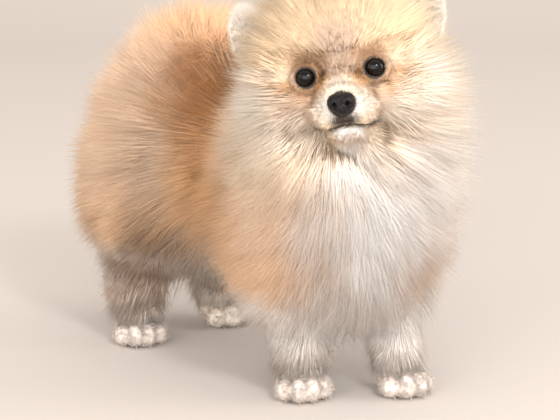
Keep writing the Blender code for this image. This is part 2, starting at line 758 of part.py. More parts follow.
def main():
    clear_scene()
    dog = new_collection("pomeranian")
    bench = new_collection("bench")

    trunk = trunk_form(CORE_SHARE, bench)
    combine(trunk, "UNION", [head_form(CORE_SHARE, bench)])
    add_face(trunk, bench)
    add_coat(trunk, bench)

    coats, feet, ears, eyes = [], [], [], []
    for end, side, at, turn, joints, radii in LEGS:
        leg = leg_form(end + "leg_" + side, at, turn, joints, radii, bench)
        seat(trunk, leg)
        combine(leg, "UNION", [paw_form(at, turn, bench)])
        stand_flat(leg, bench)
        coats.append(part_off(leg, ((*at, PAW_HEIGHT), (0, 0, 1)), "shin", bench))
        leg.name, coats[-1].name = end + "paw_" + side, leg.name
        feet.append(keep_largest(leg))
    for side, label in ((-1, "right"), (1, "left")):
        eyes.append(eye_form("eye_" + label, side, bench))
        seat(trunk, eyes[-1])
        ear, cup = ear_form("ear_" + label, side, bench)
        seat(trunk, ear)
        ears.append(combine(ear, "DIFFERENCE", [cup]))
    leather = nose_form("nose", bench)
    seat(trunk, leather)
    pierce_nostrils(leather, bench)
    for name, plane in (("head", HEAD_PLANE), ("neck", NECK_PLANE), ("tail", TAIL_PLANE)):
        coats.append(part_off(trunk, plane, name, bench))
        coats[-1].name = name
    trunk.name = "torso"
    coats.append(keep_largest(trunk))

    looks = (
        (coats, COAT), (feet, CREAM_COAT), (ears, PALE_COAT), (eyes, EYE_GLOSS), ([leather], NOSE_LEATHER)
    )
    for group, look in looks:
        for obj in group:
            finish(obj, *look, dog)
    stand_on_origin([obj for group, _ in looks for obj in group], dog)
    bpy.data.collections.remove(bench)


main()
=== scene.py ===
"""Dresses the model of a pomeranian puppy: one skin from nose to tail, a coat of tufts, ears, eyes, nose and claws.

Lengths are in mm in the dog's own frame, as in its solids: it faces -Y, its left is +X and the floor is z = 0.
The head has a frame of its own, midway between the eyes, with x to its left, y to its back and z up.
"""

import math

import bmesh
import bpy
import numpy as np
from mathutils import Matrix, Vector
from mathutils.bvhtree import BVHTree

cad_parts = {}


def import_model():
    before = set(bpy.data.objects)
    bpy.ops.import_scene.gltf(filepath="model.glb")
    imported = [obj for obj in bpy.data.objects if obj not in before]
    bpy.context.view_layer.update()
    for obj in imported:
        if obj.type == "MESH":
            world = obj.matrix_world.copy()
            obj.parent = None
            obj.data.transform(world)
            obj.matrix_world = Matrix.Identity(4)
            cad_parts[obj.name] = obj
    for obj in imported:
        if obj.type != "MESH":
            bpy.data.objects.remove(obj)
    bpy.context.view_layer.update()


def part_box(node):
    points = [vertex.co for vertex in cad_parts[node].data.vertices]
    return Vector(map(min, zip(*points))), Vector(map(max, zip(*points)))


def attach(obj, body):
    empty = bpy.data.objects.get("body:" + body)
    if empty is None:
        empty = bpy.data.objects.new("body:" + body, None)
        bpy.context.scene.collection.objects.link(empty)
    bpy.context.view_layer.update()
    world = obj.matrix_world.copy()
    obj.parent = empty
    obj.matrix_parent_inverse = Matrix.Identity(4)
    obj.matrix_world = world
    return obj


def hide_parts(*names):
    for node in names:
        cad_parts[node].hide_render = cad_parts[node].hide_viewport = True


MM = 0.001

# The camera: where it stands in m, how far it turns right of straight ahead, how far it looks down, and its lens
CAMERA_AT = (-0.86193, -1.10322, 0.42)
CAMERA_TURN = 38.43
CAMERA_DROP = 13.10
CAMERA_LENS = 155.16
SENSOR = 36

# The head's place and pose
HEAD_AT = (-35.0, -113.7, 196.3)
HEAD_TURN = 44
HEAD_LIFT = 9.5
HEAD_TILT = 9.5

# The face
EYE_APART = 37.4
EYE_RADIUS = 6.0
EYE_OUTWARD = 0.16
LID_WIDE = 6.5
LID_HIGH = 5.7
LID_FORWARD = 2.7
LID_RADIUS = 1.5
NOSE_AT = (0, -26.5, -16.5)
NOSE_SIZE = (7.6, 6.0, 6.2)
MOUTH_DROP = 29.5
MOUTH_HALF_WIDTH = 19.5
MOUTH_ARCH = 1.6
EAR_ROOT = (45, 31, 7)
EAR_TIP = (51, 28, 43)
EAR_SIZE = (12, 5, 19)
EAR_CUP_AT = (0, 4.2, 1.5)
EAR_CUP_SIZE = (8.6, 4.6, 14.5)
EAR_FACES = (0.5, -1.0, 0.1)

# The masses of the body: centre, radii of the flesh, depth of the coat along each axis, shift of the coat
TRUNK_BALLS = (
    ((0, -40, 120), (37, 54, 38), (26, 24, 32), (0, 0, -4)),
    ((3, -80, 112), (30, 27, 32), (36, 30, 38), (2, 0, -4)),
    ((25, -66, 108), (19, 25, 34), (32, 28, 34), (2, 0, -6)),
    ((-25, -58, 108), (19, 25, 34), (29, 26, 34), (0, 0, -6)),
    ((0, 25, 123), (31, 52, 31), (29, 20, 34), (0, 0, -5)),
    ((0, 78, 121), (32, 32, 34), (34, 37, 31), (0, 2, -2)),
    ((25, 82, 94), (18, 28, 29), (23, 32, 25), (0, 2, -2)),
    ((-25, 82, 94), (18, 28, 29), (23, 32, 25), (0, 2, -2)),
    ((0, -68, 138), (33, 34, 33), (38, 30, 32), (2, -4, -4)),
    ((-9, -78, 158), (31, 30, 30), (43, 30, 26), (9, -4, -8)),
    ((-16, -86, 176), (29, 28, 28), (38, 26, 18), (14, 6, -5)),
)
TAIL_PATH = ((0, 96, 134), (0, 103, 152), (0, 95, 168), (0, 72, 179), (0, 46, 181), (0, 24, 177))
TAIL_RADII = (10, 9, 8, 7, 6, 4)
TAIL_COAT = 25
HEAD_BALLS = (
    ((0, 24, 10), (29, 31, 26), (24, 8, 19), (0, 10, 0)),
    ((17, 12, -10), (12, 17, 14), (30, 11, 28), (7, 12, -1)),
    ((-17, 12, -10), (12, 17, 14), (30, 11, 28), (-7, 12, -1)),
    ((0, 6, 12), (21, 12, 13), (8, 4, 7), (0, 4, 3)),
    ((20, 8, 1), (13, 9.5, 12), (6, 1, 4), (2, 1, 0)),
    ((-20, 8, 1), (13, 9.5, 12), (6, 1, 4), (-2, 1, 0)),
    ((0, 2, -13), (15, 14, 12), (2, 2, 2), (0, 0, 0)),
    ((8, -10, -22.5), (8, 12, 7.5), (1.5, 1, 1), (0, 0, 0)),
    ((-8, -10, -22.5), (8, 12, 7.5), (1.5, 1, 1), (0, 0, 0)),
)
HEAD_LIMBS = (
    ((0, 0, -12), 15, (0, -18, -16.5), 9.5),
    ((0, 14, -26), 14, (0, -7.5, -29.8), 6.6),
)
HEAD_PLANE = ((-14, -84, 168), (-0.42, -0.52, 0.74))

# Each leg: where its foot stands, how far it turns right, its joints from the root down and their radii
LEGS = (
    ((-25, -69), 30, ((-26, -60, 92), (-26, -62, 62)), (15, 13)),
    ((25, -98), 10, ((26, -72, 92), (26, -80, 62)), (15, 13)),
    ((-33, 82), 28, ((-25, 80, 86), (-31, 74, 62), (-33, 92, 36)), (21, 16, 11)),
    ((34, 85), -8, ((25, 82, 86), (31, 76, 62), (34, 95, 36)), (21, 16, 11)),
)
ANKLE_RADIUS = 9.5
ANKLE_AT = (0, 6, 24)
LEG_COAT = 6
PAW_COAT = 1.5
TOES = ((-11.0, -6.0, 7.0), (-3.9, -11.5, 7.8), (3.9, -11.5, 7.8), (11.0, -6.0, 7.0))
TOE_WIDTH = 6.2
TOE_LENGTH = 9.0
CLAWS = ((-11.2, -11.4, 22), (-4.0, -16.6, 8), (4.0, -16.6, -8), (11.2, -11.4, -22))
CLAW_HEIGHT = 4.2
CLAW_LENGTH = 5.0
CLAW_RADIUS = 1.1

# Hairs that pass this far to a side are pressed back by a share of what is past it, and all end above the floor
SIDE_ROOM = 74.0
SIDE_PRESS = 0.62
FLOOR_ROOM = 0.2

# Meshes: voxel and passes of smoothing
SKIN_VOXEL = 0.95
SKIN_TRIANGLES = 130000
ENVELOPE_VOXEL = 3.0
EAR_VOXEL = 0.7
NOSE_VOXEL = 0.35

# Coat colours
APRICOT = (0.82, 0.53, 0.32)
GOLD = (0.96, 0.75, 0.52)
PALE_APRICOT = (0.88, 0.67, 0.51)
CREAM = (0.95, 0.80, 0.63)
IVORY = (0.96, 0.86, 0.75)
WHITE = (0.95, 0.91, 0.88)
ORANGE = (0.70, 0.385, 0.18)
RUST = (0.46, 0.21, 0.077)
TAN = (0.58, 0.34, 0.20)
BEIGE = (0.80, 0.60, 0.46)
MAUVE = (0.64, 0.49, 0.38)
MIST = (0.92, 0.86, 0.82)
ASH = (0.80, 0.73, 0.68)
PAW = (0.71, 0.63, 0.57)
DUSK = (0.33, 0.22, 0.145)
UMBER = (0.20, 0.09, 0.04)
SLATE = (0.10, 0.08, 0.07)
# The white of the socks, lifted past white as painted light against the shade of the leg's hair
SOCK_WHITE_AND_LIGHT = (1.0, 0.95, 0.90)
LID_BROWN = (0.30, 0.16, 0.085)
RIM = (0.018, 0.013, 0.011)
EAR_PINK = (0.86, 0.74, 0.68)

def vec(values):
    return Vector(values) * MM


def node_middle(name):
    low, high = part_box(name)
    return (Vector(low) + Vector(high)) / 2


def body_frame():
    """The dog's own frame as it stands in the model, found from the eyes."""
    return Matrix.Translation((node_middle("eye_left") + node_middle("eye_right")) / 2 - vec(HEAD_AT))


def head_frame():
    turn = Matrix.Rotation(math.radians(-HEAD_TURN), 4, "Z")
    lift = Matrix.Rotation(math.radians(-HEAD_LIFT), 4, "X")
    tilt = Matrix.Rotation(math.radians(-HEAD_TILT), 4, "Y")
    return body_frame() @ Matrix.Translation(vec(HEAD_AT)) @ turn @ lift @ tilt


def foot_frame(at, turn):
    return body_frame() @ Matrix.Translation(vec((*at, 0))) @ Matrix.Rotation(math.radians(-turn), 4, "Z")


def add_ball(bm, centre, radii, frame, detail=4):
    size = Matrix.Diagonal((*vec(radii), 1.0))
    bmesh.ops.create_icosphere(
        bm, subdivisions=detail, radius=1.0, matrix=frame @ Matrix.Translation(vec(centre)) @ size
    )


def add_limb(bm, start, start_radius, end, end_radius, frame, detail=3):
    start, end = Vector(start), Vector(end)
    steps = max(2, math.ceil((end - start).length / (0.2 * min(start_radius, end_radius))))
    for i in range(steps + 1):
        share = i / steps
        radius = start_radius + (end_radius - start_radius) * share
        add_ball(bm, start.lerp(end, share), (radius,) * 3, frame, detail)


def object_from(bm, name):
    mesh = bpy.data.meshes.new(name)
    bm.to_mesh(mesh)
    bm.free()
    obj = bpy.data.objects.new(name, mesh)
    bpy.context.scene.collection.objects.link(obj)
    return obj


def apply_modifiers(obj):
    bpy.context.view_layer.update()
    made = bpy.data.meshes.new_from_object(obj.evaluated_get(bpy.context.evaluated_depsgraph_get()))
    obj.modifiers.clear()
    old, obj.data = obj.data, made
    bpy.data.meshes.remove(old)
    return obj


def moulded(obj, voxel, passes):
    """One smooth closed surface round all that the object holds."""
    remesh = obj.modifiers.new("mould", "REMESH")
    remesh.mode = "VOXEL"
    remesh.voxel_size = voxel * MM
    smooth = obj.modifiers.new("soften", "SMOOTH")
    smooth.factor = 0.5
    smooth.iterations = passes
    return apply_modifiers(obj)


def thinned(obj, triangles):
    thin = obj.modifiers.new("thin out", "DECIMATE")
    thin.ratio = min(1.0, triangles / (2 * len(obj.data.polygons)))
    thin.use_collapse_triangulate = True
    return apply_modifiers(obj)


def cut(obj, cutter):
    boolean = obj.modifiers.new("cut", "BOOLEAN")
    boolean.operation = "DIFFERENCE"
    boolean.solver = "EXACT"
    boolean.object = cutter
    apply_modifiers(obj)
    bpy.data.objects.remove(cutter, do_unlink=True)
    return obj


def eye_axis(side):
    return Vector((side * EYE_OUTWARD, -1.0, 0.0)).normalized()


def eye_place(side):
    return Vector((side * EYE_APART / 2, 0, 0))


def add_lids(bm, side):
    """A ring of flesh round each eye, wider than high, that the lids' edge follows."""
    axis = eye_axis(side)
    frame = head_frame() @ Matrix.Translation(vec(eye_place(side) + axis * LID_FORWARD))
    frame = frame @ axis.to_track_quat("Z", "Y").to_matrix().to_4x4()
    for i in range(36):
        turn = math.tau * i / 36
        place = (LID_WIDE * math.cos(turn), LID_HIGH * math.sin(turn), 0)
        add_ball(bm, place, (LID_RADIUS,) * 3, frame, 2)


def add_paw(bm, at, turn, inset):
    frame = foot_frame(at, turn)
    for across, ahead, high in TOES:
        size = (TOE_WIDTH - inset * 0.7, TOE_LENGTH - inset, high - inset * 0.6)
        add_ball(bm, (across, ahead, high - inset * 0.4), size, frame, 3)
    add_ball(bm, (0, 4, 9), (13.5 - inset, 15 - inset, 10.5 - inset), frame, 3)
    add_ball(bm, (0, -7, 7 - inset * 0.4), (14.5 - inset, 13 - inset, 7.4 - inset * 0.6), frame, 3)
    add_limb(bm, (0, 5, 12), 11.5 - inset, ANKLE_AT, 10.5 - inset, frame)


def body_form(name, share):
    """The whole dog without its ears, with that share of the coat's depth."""
    body, head = body_frame(), head_frame()
    bm = bmesh.new()
    for balls, frame in ((TRUNK_BALLS, body), (HEAD_BALLS, head)):
        for mass in balls:
            centre, radii, coat, shift = (Vector(part) for part in mass)
            add_ball(bm, centre + shift * share, radii + coat * share, frame)
    for start, start_radius, end, end_radius in HEAD_LIMBS:
        add_limb(bm, start, start_radius + share, end, end_radius + share, head)
    ends = list(zip(TAIL_PATH, TAIL_RADII))
    for (start, start_radius), (end, end_radius) in zip(ends, ends[1:]):
        add_limb(bm, start, start_radius + TAIL_COAT * share, end, end_radius + TAIL_COAT * share, body)
    for at, turn, joints, radii in LEGS:
        ankle = body.inverted() @ foot_frame(at, turn) @ vec(ANKLE_AT) / MM
        path = [Vector(joint) for joint in joints] + [ankle]
        sizes = [radii[0]] + [radius + LEG_COAT * share for radius in (*radii[1:], ANKLE_RADIUS)]
        for i in range(len(path) - 1):
            add_limb(bm, path[i], sizes[i], path[i + 1], sizes[i + 1], body)
        add_paw(bm, at, turn, PAW_COAT * (1 - share))
    if share == 0:
        for side in (-1, 1):
            add_lids(bm, side)
    return object_from(bm, name)


def tree_of(obj):
    bm = bmesh.new()
    bm.from_mesh(obj.data)
    tree = BVHTree.FromBMesh(bm)
    bm.free()
    return tree


def places(obj):
    flat = np.empty(len(obj.data.vertices) * 3)
    obj.data.vertices.foreach_get("co", flat)
    return flat.reshape(-1, 3)


def normals(obj):
    flat = np.empty(len(obj.data.vertices) * 3)
    obj.data.vertices.foreach_get("normal", flat)
    return flat.reshape(-1, 3)


def move_to(obj, points):
    obj.data.vertices.foreach_set("co", points.ravel())
    obj.data.update()


def in_frame(points, frame):
    """Points of the model, in m, as mm in one of the dog's frames."""
    turned = np.array(frame.inverted())
    return (points @ turned[:3, :3].T + turned[:3, 3]) / MM


def ramp(values, low, high):
    share = np.clip((values - low) / (high - low), 0, 1)
    return share * share * (3 - 2 * share)


def unit(vectors):
    return vectors / np.maximum(np.linalg.norm(vectors, axis=-1, keepdims=True), 1e-9)


def path_distance(points, path):
    """Distance to a path, and the path's direction there."""
    best = np.full(len(points), np.inf)
    along = np.zeros((len(points), 3))
    for start, end in zip(path, path[1:]):
        start, step = np.array(start, float), np.array(end, float) - np.array(start, float)
        share = np.clip((points - start) @ step / (step @ step), 0, 1)
        away = np.linalg.norm(points - start - share[:, None] * step, axis=1)
        nearer = away < best
        best[nearer] = away[nearer]
        along[nearer] = step / np.linalg.norm(step)
    return best, along


def mouth_path():
    """The closed mouth from corner to corner, in the head's frame, without its depth."""
    path = []
    for i in range(25):
        share = i / 12 - 1
        across = MOUTH_HALF_WIDTH * math.sin(0.5 * math.pi * share)
        drop = MOUTH_DROP - MOUTH_ARCH * math.cos(1.5 * math.pi * share) * (1 - abs(share))
        path.append((across, -drop - 1.8 * abs(share) ** 3))
    return path


def mouth_distance(head_points):
    """Distance in mm to the line of the mouth as seen from the front, for points on the front of the head."""
    flat = head_points[:, [0, 2]]
    best = np.full(len(flat), np.inf)
    path = np.array(mouth_path())
    for start, end in zip(path, path[1:]):
        step = end - start
        share = np.clip((flat - start) @ step / (step @ step), 0, 1)
        best = np.minimum(best, np.linalg.norm(flat - start - share[:, None] * step, axis=1))
    return np.where(head_points[:, 1] < 12, best, 99.0)


def cleft_distance(head_points):
    """Distance to the cleft between the nose and the mouth."""
    low = np.abs(head_points[:, 2] + 24.5) > 4.5
    return np.where((head_points[:, 1] < -8) & ~low, np.abs(head_points[:, 0]), 99.0)


def eye_distance(head_points):
    """Distance from the nearer eye's middle, across the face."""
    away = [np.linalg.norm((head_points - np.array(eye_place(side)))[:, [0, 2]], axis=1) for side in (-1, 1)]
    return np.where(head_points[:, 1] < 6, np.minimum(*away), 99.0)


def shape_face(skin):
    """Cuts the line of the mouth with a raised lip along each side of it, and the cleft."""
    points, outward = places(skin), normals(skin)
    head = in_frame(points, head_frame())
    groove = 1.5 * np.exp(-((mouth_distance(head) / 1.1) ** 2))
    lips = 0.8 * np.exp(-(((mouth_distance(head) - 2.4) / 1.3) ** 2)) * (head[:, 1] < 8)
    cleft = 0.9 * np.exp(-((cleft_distance(head) / 0.8) ** 2))
    move_to(skin, points + outward * ((lips - groove - cleft) * MM)[:, None])


def unwrap(obj):
    """A flat layout of the skin's own shape, for the bake."""
    bpy.ops.object.select_all(action="DESELECT")
    bpy.context.view_layer.objects.active = obj
    obj.select_set(True)
    obj.data.uv_layers.new(name="OFBake")
    bpy.ops.object.mode_set(mode="EDIT")
    bpy.ops.mesh.select_all(action="SELECT")
    bpy.ops.uv.smart_project(angle_limit=math.radians(66), island_margin=0.001)
    bpy.ops.object.mode_set(mode="OBJECT")
    obj.select_set(False)


def region_weights(points, head):
    """How much each point belongs to the head, the tail, the legs and the paws."""
    plane_point, plane_normal = np.array(HEAD_PLANE[0]), unit(np.array(HEAD_PLANE[1]))
    on_head = ramp((points - plane_point) @ plane_normal, -10, 4)
    away, _ = path_distance(points, TAIL_PATH)
    on_tail = (1 - ramp(away, 12, 20)) * ramp(points[:, 2], 138, 150)
    on_leg = 1 - ramp(points[:, 2], 50, 70)
    on_paw = 1 - ramp(points[:, 2], 14, 24)
    return on_head, on_tail, on_leg, on_paw


def lie_of_fur(points, head, outward):
    """The direction in which the fur lies at each point of the skin."""
    x, y, _ = points.T
    side = np.clip(x / 28, -1, 1)
    one, none = np.ones_like(x), np.zeros_like(x)
    flank = np.stack([0.25 * side, 0.8 * one, -0.55 * one], 1)
    chest = np.stack([0.45 * side, -0.2 * one, -1.0 * one], 1)
    rump = np.stack([0.25 * side, 0.5 * one, -0.8 * one], 1)
    front, rear = (1 - ramp(y, -112, -66))[:, None], ramp(y, 66, 112)[:, None]
    body = flank * (1 - front) * (1 - rear) + chest * front + rump * rear
    top = ramp(outward[:, 2], 0.4, 0.9)[:, None]
    body = body * (1 - top) + np.stack([0.6 * side, one, 0.1 * one], 1) * top
    on_head, on_tail, on_leg, on_paw = (weight[:, None] for weight in region_weights(points, head))
    nose = in_frame(np.array([head_frame() @ vec(NOSE_AT)]), body_frame())[0]
    from_nose = unit(points - nose)
    ruff = ramp(points[:, 2], 110, 160)[:, None] * front
    body = body * (1 - 0.6 * ruff) + (from_nose + np.array((0, 0, -0.5))) * 0.6 * ruff
    face = from_nose + np.array((0, 0, -0.22)) * ramp(head[:, 1], 0, 30)[:, None]
    for end in (-1, 1):
        eye = in_frame(np.array([head_frame() @ vec(eye_place(end))]), body_frame())[0]
        near = (1 - ramp(np.linalg.norm(points - eye, axis=1), 7.5, 15))[:, None]
        face = face * (1 - near) + unit(points - eye) * near
    _, along = path_distance(points, TAIL_PATH)
    tail = along + np.stack([0.9 * np.clip(x / 5, -1, 1), none, -0.1 * one], 1)
    leg = np.stack([0.15 * side, 0.3 * one, -one], 1)
    paw = np.stack([none, -0.8 * one, -0.7 * one], 1)
    lie = body * (1 - on_head) + face * on_head
    lie = lie * (1 - on_tail) + tail * on_tail
    lie = lie * (1 - on_leg) + leg * on_leg
    lie = lie * (1 - on_paw) + paw * on_paw
    lie -= outward * np.sum(lie * outward, axis=1)[:, None]
    return unit(lie)


def face_weight(head):
    """1 where the fur is as short as on the muzzle, falling to 0 at the cheeks and the crown."""
    x, y, z = head.T
    oval = np.sqrt((x / 27) ** 2 + ((z + 12) / 27) ** 2)
    face = (1 - ramp(oval, 0.62, 1.12)) * (1 - ramp(y, 8, 22)) * ramp(z, -43, -35)
    return np.maximum(face, 1 - ramp(eye_distance(head), 10, 17))


def lean_of_fur(points, head):
    """0 stands straight out, 1 lies flat."""
    on_head, on_tail, on_leg, on_paw = region_weights(points, head)
    lean = np.full(len(points), 0.48)
    lean = lean * (1 - on_head) + 0.46 * on_head
    lean -= 0.2 * blob(head, (0, 10, -50), (28, 18, 14))
    lean = lean * (1 - on_tail) + 0.5 * on_tail
    away, _ = path_distance(points, TAIL_PATH)
    lean -= 0.2 * blob(points, (0, 110, 140), (18, 18, 18))
    lean -= 0.24 * np.maximum(blob(points, (0, 106, 138), (28, 24, 26)), ramp(away, 8, 16) * (1 - ramp(away, 26, 36)))
    lean = lean * (1 - on_leg) + (0.72 + 0.1 * (1 - ramp(points[:, 2], 26, 38))) * on_leg
    lean = lean * (1 - on_paw) + 0.86 * on_paw
    short = face_weight(head) * on_head
    muzzle = blob(both_sides(head, (1, 0, 0)), (13, -6, -24), (9, 14, 16))
    return lean * (1 - short) + (0.84 - 0.16 * muzzle) * short


def settled(obj, values, passes):
    """Evens values out over the skin."""
    pairs = np.empty(len(obj.data.edges) * 2, dtype=np.int64)
    obj.data.edges.foreach_get("vertices", pairs)
    first, second = pairs.reshape(-1, 2).T
    count = np.bincount(pairs, minlength=len(values)).astype(float)
    for _ in range(passes):
        total = np.bincount(first, values[second], len(values)) + np.bincount(second, values[first], len(values))
        values = 0.4 * values + 0.6 * total / np.maximum(count, 1)
    return values


def reach_of_fur(skin, envelope, lie, lean):
    """Length in mm from each point of the skin, along the fur, to the coat's outer surface."""
    points, outward = places(skin), normals(skin)
    ways = unit(outward * (1 - lean)[:, None] + lie * lean[:, None])
    reach = np.full(len(points), 4.0)
    for i, (point, way, normal) in enumerate(zip(points, ways, outward)):
        start = Vector(point) + Vector(normal) * 0.0003
        hit = envelope.ray_cast(start, Vector(way), 0.09)
        if hit[0] is not None:
            reach[i] = hit[3] / MM
    return settled(skin, np.clip(reach, 2.2, 62), 14)


def girth_for(reach):
    """Long tufts are thicker, but not in step with their length."""
    return 20 * np.sqrt(reach / 45)


def blob(points, centre, radii):
    """1 at the middle of a soft oval patch, falling away past its edge."""
    away = np.linalg.norm((points - np.array(centre)) / np.array(radii), axis=1)
    return 1 - ramp(away, 0.55, 1.35)


# The markings, some of them painted shade or light where so noted: colour, centre and radii of a soft patch, and its
# strength. Those of the head are in its frame, and those with a side are on both sides of the dog.
HEAD_MARKS_AND_SHADE = (
    (TAN, (18.7, -6, 0), (11, 10, 9), 0.6),
    (UMBER, (18.7, -5, 0), (8, 9, 7.4), 0.6),
    (BEIGE, (0, -6, 17), (15, 20, 15), 0.9),
    (MAUVE, (0, -8, 8), (12, 16, 12), 0.6),
    (IVORY, (54, 20, -10), (20, 36, 24), 0.95),
    (CREAM, (40, 4, -22), (26, 26, 28), 1.0),
    (IVORY, (46, 6, -34), (34, 40, 26), 0.9),
    (BEIGE, (0, -8, 2), (8, 12, 8), 0.7),
    # the brows: their own darker fur, deepened with painted shade
    (TAN, (18, -3, 10), (13, 10, 5), 0.8),
    (ORANGE, (11, -7, -5), (6, 9, 7), 0.85),
    (ORANGE, (25, -3, -11), (12, 9, 6), 0.8),
    # dark fur under each eye and at its inner corner, deepened with painted shade
    (UMBER, (20, -4, -8.6), (7, 8, 2.2), 0.95),
    (UMBER, (9.6, -6, -1.5), (3, 8, 3.6), 0.75),
    (ORANGE, (34, 2, -3), (11, 9, 3.5), 0.7),
    (IVORY, (0, -20, -7), (7, 12, 5), 0.85),
    (BEIGE, (19, -5, -20), (9, 15, 11), 0.75),
    (IVORY, (8, -17, -18), (8.5, 14, 9.5), 1.0),
    (WHITE, (7, -20, -18), (6, 12, 7), 0.5),
    (WHITE, (0, -12, -33), (12, 14, 4.2), 1.0),
    # painted shadow under the lower lip
    (TAN, (0, -8, -37), (16, 18, 3.4), 0.6),
    (WHITE, (0, -4, -48), (30, 28, 9.5), 1.0),
    (IVORY, (38, -2, -48), (24, 34, 22), 0.9),
    (WHITE, (0, -4, -64), (34, 34, 24), 1.0),
    (SLATE, (0, -24, -25.5), (9, 10, 4.6), 1.0),
    (SLATE, (16.5, -7, -31.5), (6.5, 12, 5.6), 1.0),
)
# Painted shade on the dog's right side of the face alone: a darker brow, inner eye corner, outer cheek and under the
# eye
RIGHT_FACE_SHADE = (
    ((0.42, 0.25, 0.14), (-17, -5, 10), (12, 12, 7), 0.9),
    (UMBER, (-9, -6, 3), (4, 9, 5), 0.6),
    (TAN, (-34, 0, -6), (13, 12, 3.5), 0.7),
    (BEIGE, (-36, -4, -14), (14, 18, 9), 0.7),
    (TAN, (-19, -6, -10), (9, 12, 4), 0.6),
)
BODY_MARKS = (
    (BEIGE, (0, 74, 176), (60, 70, 26), 0.8),
    (PALE_APRICOT, (52, 92, 126), (26, 34, 60), 0.6),
    (MAUVE, (54, 52, 122), (16, 24, 38), 0.85),
    (ORANGE, (44, 2, 132), (26, 24, 48), 0.9),
    (RUST, (36, 16, 158), (25, 19, 36), 1.0),
    (RUST, (44, 8, 132), (16, 16, 30), 0.45),
    (BEIGE, (36, -8, 66), (26, 30, 16), 0.8),
    (PALE_APRICOT, (56, -66, 104), (20, 24, 36), 0.8),
    (ORANGE, (52, -32, 114), (16, 20, 30), 0.5),
    (CREAM, (56, -76, 152), (44, 60, 34), 1.0),
    (MIST, (44, -104, 100), (20, 22, 36), 0.85),
    (DUSK, (48, 60, 58), (20, 26, 22), 0.95),
    (RUST, (44, 44, 162), (17, 26, 24), 0.6),
    (TAN, (48, -40, 122), (22, 26, 36), 0.4),
)
LEG_MARKS = (
    (ASH, (34, -84, 66), (30, 34, 16), 0.8),
    (WHITE, (30, -92, 34), (30, 40, 14), 0.85),
    (IVORY, (30, -88, 20), (26, 34, 8), 0.8),
    (DUSK, (40, 72, 49), (26, 30, 15), 0.9),
    (PALE_APRICOT, (38, 78, 24), (26, 30, 11), 0.7),
)
# Marks on one side only, among them painted light on the far hind leg and at the wrists
NEAR_MARKS_AND_LIGHT = (
    (IVORY, (44, -112, 128), (34, 44, 40), 1.0),
    (MIST, (30, -124, 92), (26, 26, 26), 0.9),
    (MIST, (14, -128, 112), (28, 28, 46), 0.95),
    (MAUVE, (-36, -98, 84), (15, 24, 22), 0.6),
    (MAUVE, (28, -120, 86), (13, 24, 20), 0.5),
    (WHITE, (-36, -128, 144), (36, 26, 26), 1.0),
    (WHITE, (-22, -124, 112), (22, 26, 42), 1.0),
    (WHITE, (-13, -116, 76), (24, 24, 32), 1.0),
    # painted light on the far hind leg, lifting it out of the body's shadow
    (IVORY, (24, 80, 28), (24, 30, 26), 1.0),
    # the white socks at the wrists, brightened with painted light against the shade of the leg's hair
    (SOCK_WHITE_AND_LIGHT, (-25, -68, 28), (24, 24, 12), 1.0),
    (SOCK_WHITE_AND_LIGHT, (25, -96, 26), (20, 22, 10), 0.9),
    (RUST, (-20, 32, 180), (20, 20, 18), 0.8),
)
# How many of the hairs are dark, in the same form
HEAD_SMOKE = (((0, -4, 16), (12, 22, 20), 0.34), ((22, 2, 10), (14, 12, 7), 0.2))
BODY_SMOKE = (
    ((44, 16, 150), (24, 26, 50), 0.55),
    ((40, 50, 160), (26, 34, 30), 0.45),
    ((54, 52, 122), (20, 28, 40), 0.5),
    ((48, 58, 64), (20, 26, 20), 0.8),
    ((24, -84, 60), (38, 34, 20), 0.45),
    ((44, -96, 104), (16, 26, 40), 0.3),
)

def both_sides(points, centre):
    """The points with their left and right folded together where a mark is on both sides."""
    return np.abs(points) * (1, 0, 0) + points * (0, 1, 1) if centre[0] else points


def toe_gaps(points):
    """1 along the lines between the toes of each foot."""
    best = np.zeros(len(points))
    for at, turn, _, _ in LEGS:
        angle = math.radians(turn)
        x, y = (points[:, :2] - np.array(at)).T
        across, ahead = x * math.cos(angle) - y * math.sin(angle), x * math.sin(angle) + y * math.cos(angle)
        line = np.min([np.abs(across - gap) for gap in (-7.5, 0, 7.5)], axis=0)
        near = (np.abs(across) < 12) & (ahead < -4) & (ahead > -24) & (points[:, 2] < 16)
        best = np.maximum(best, np.exp(-((line / 1.1) ** 2)) * near)
    return best


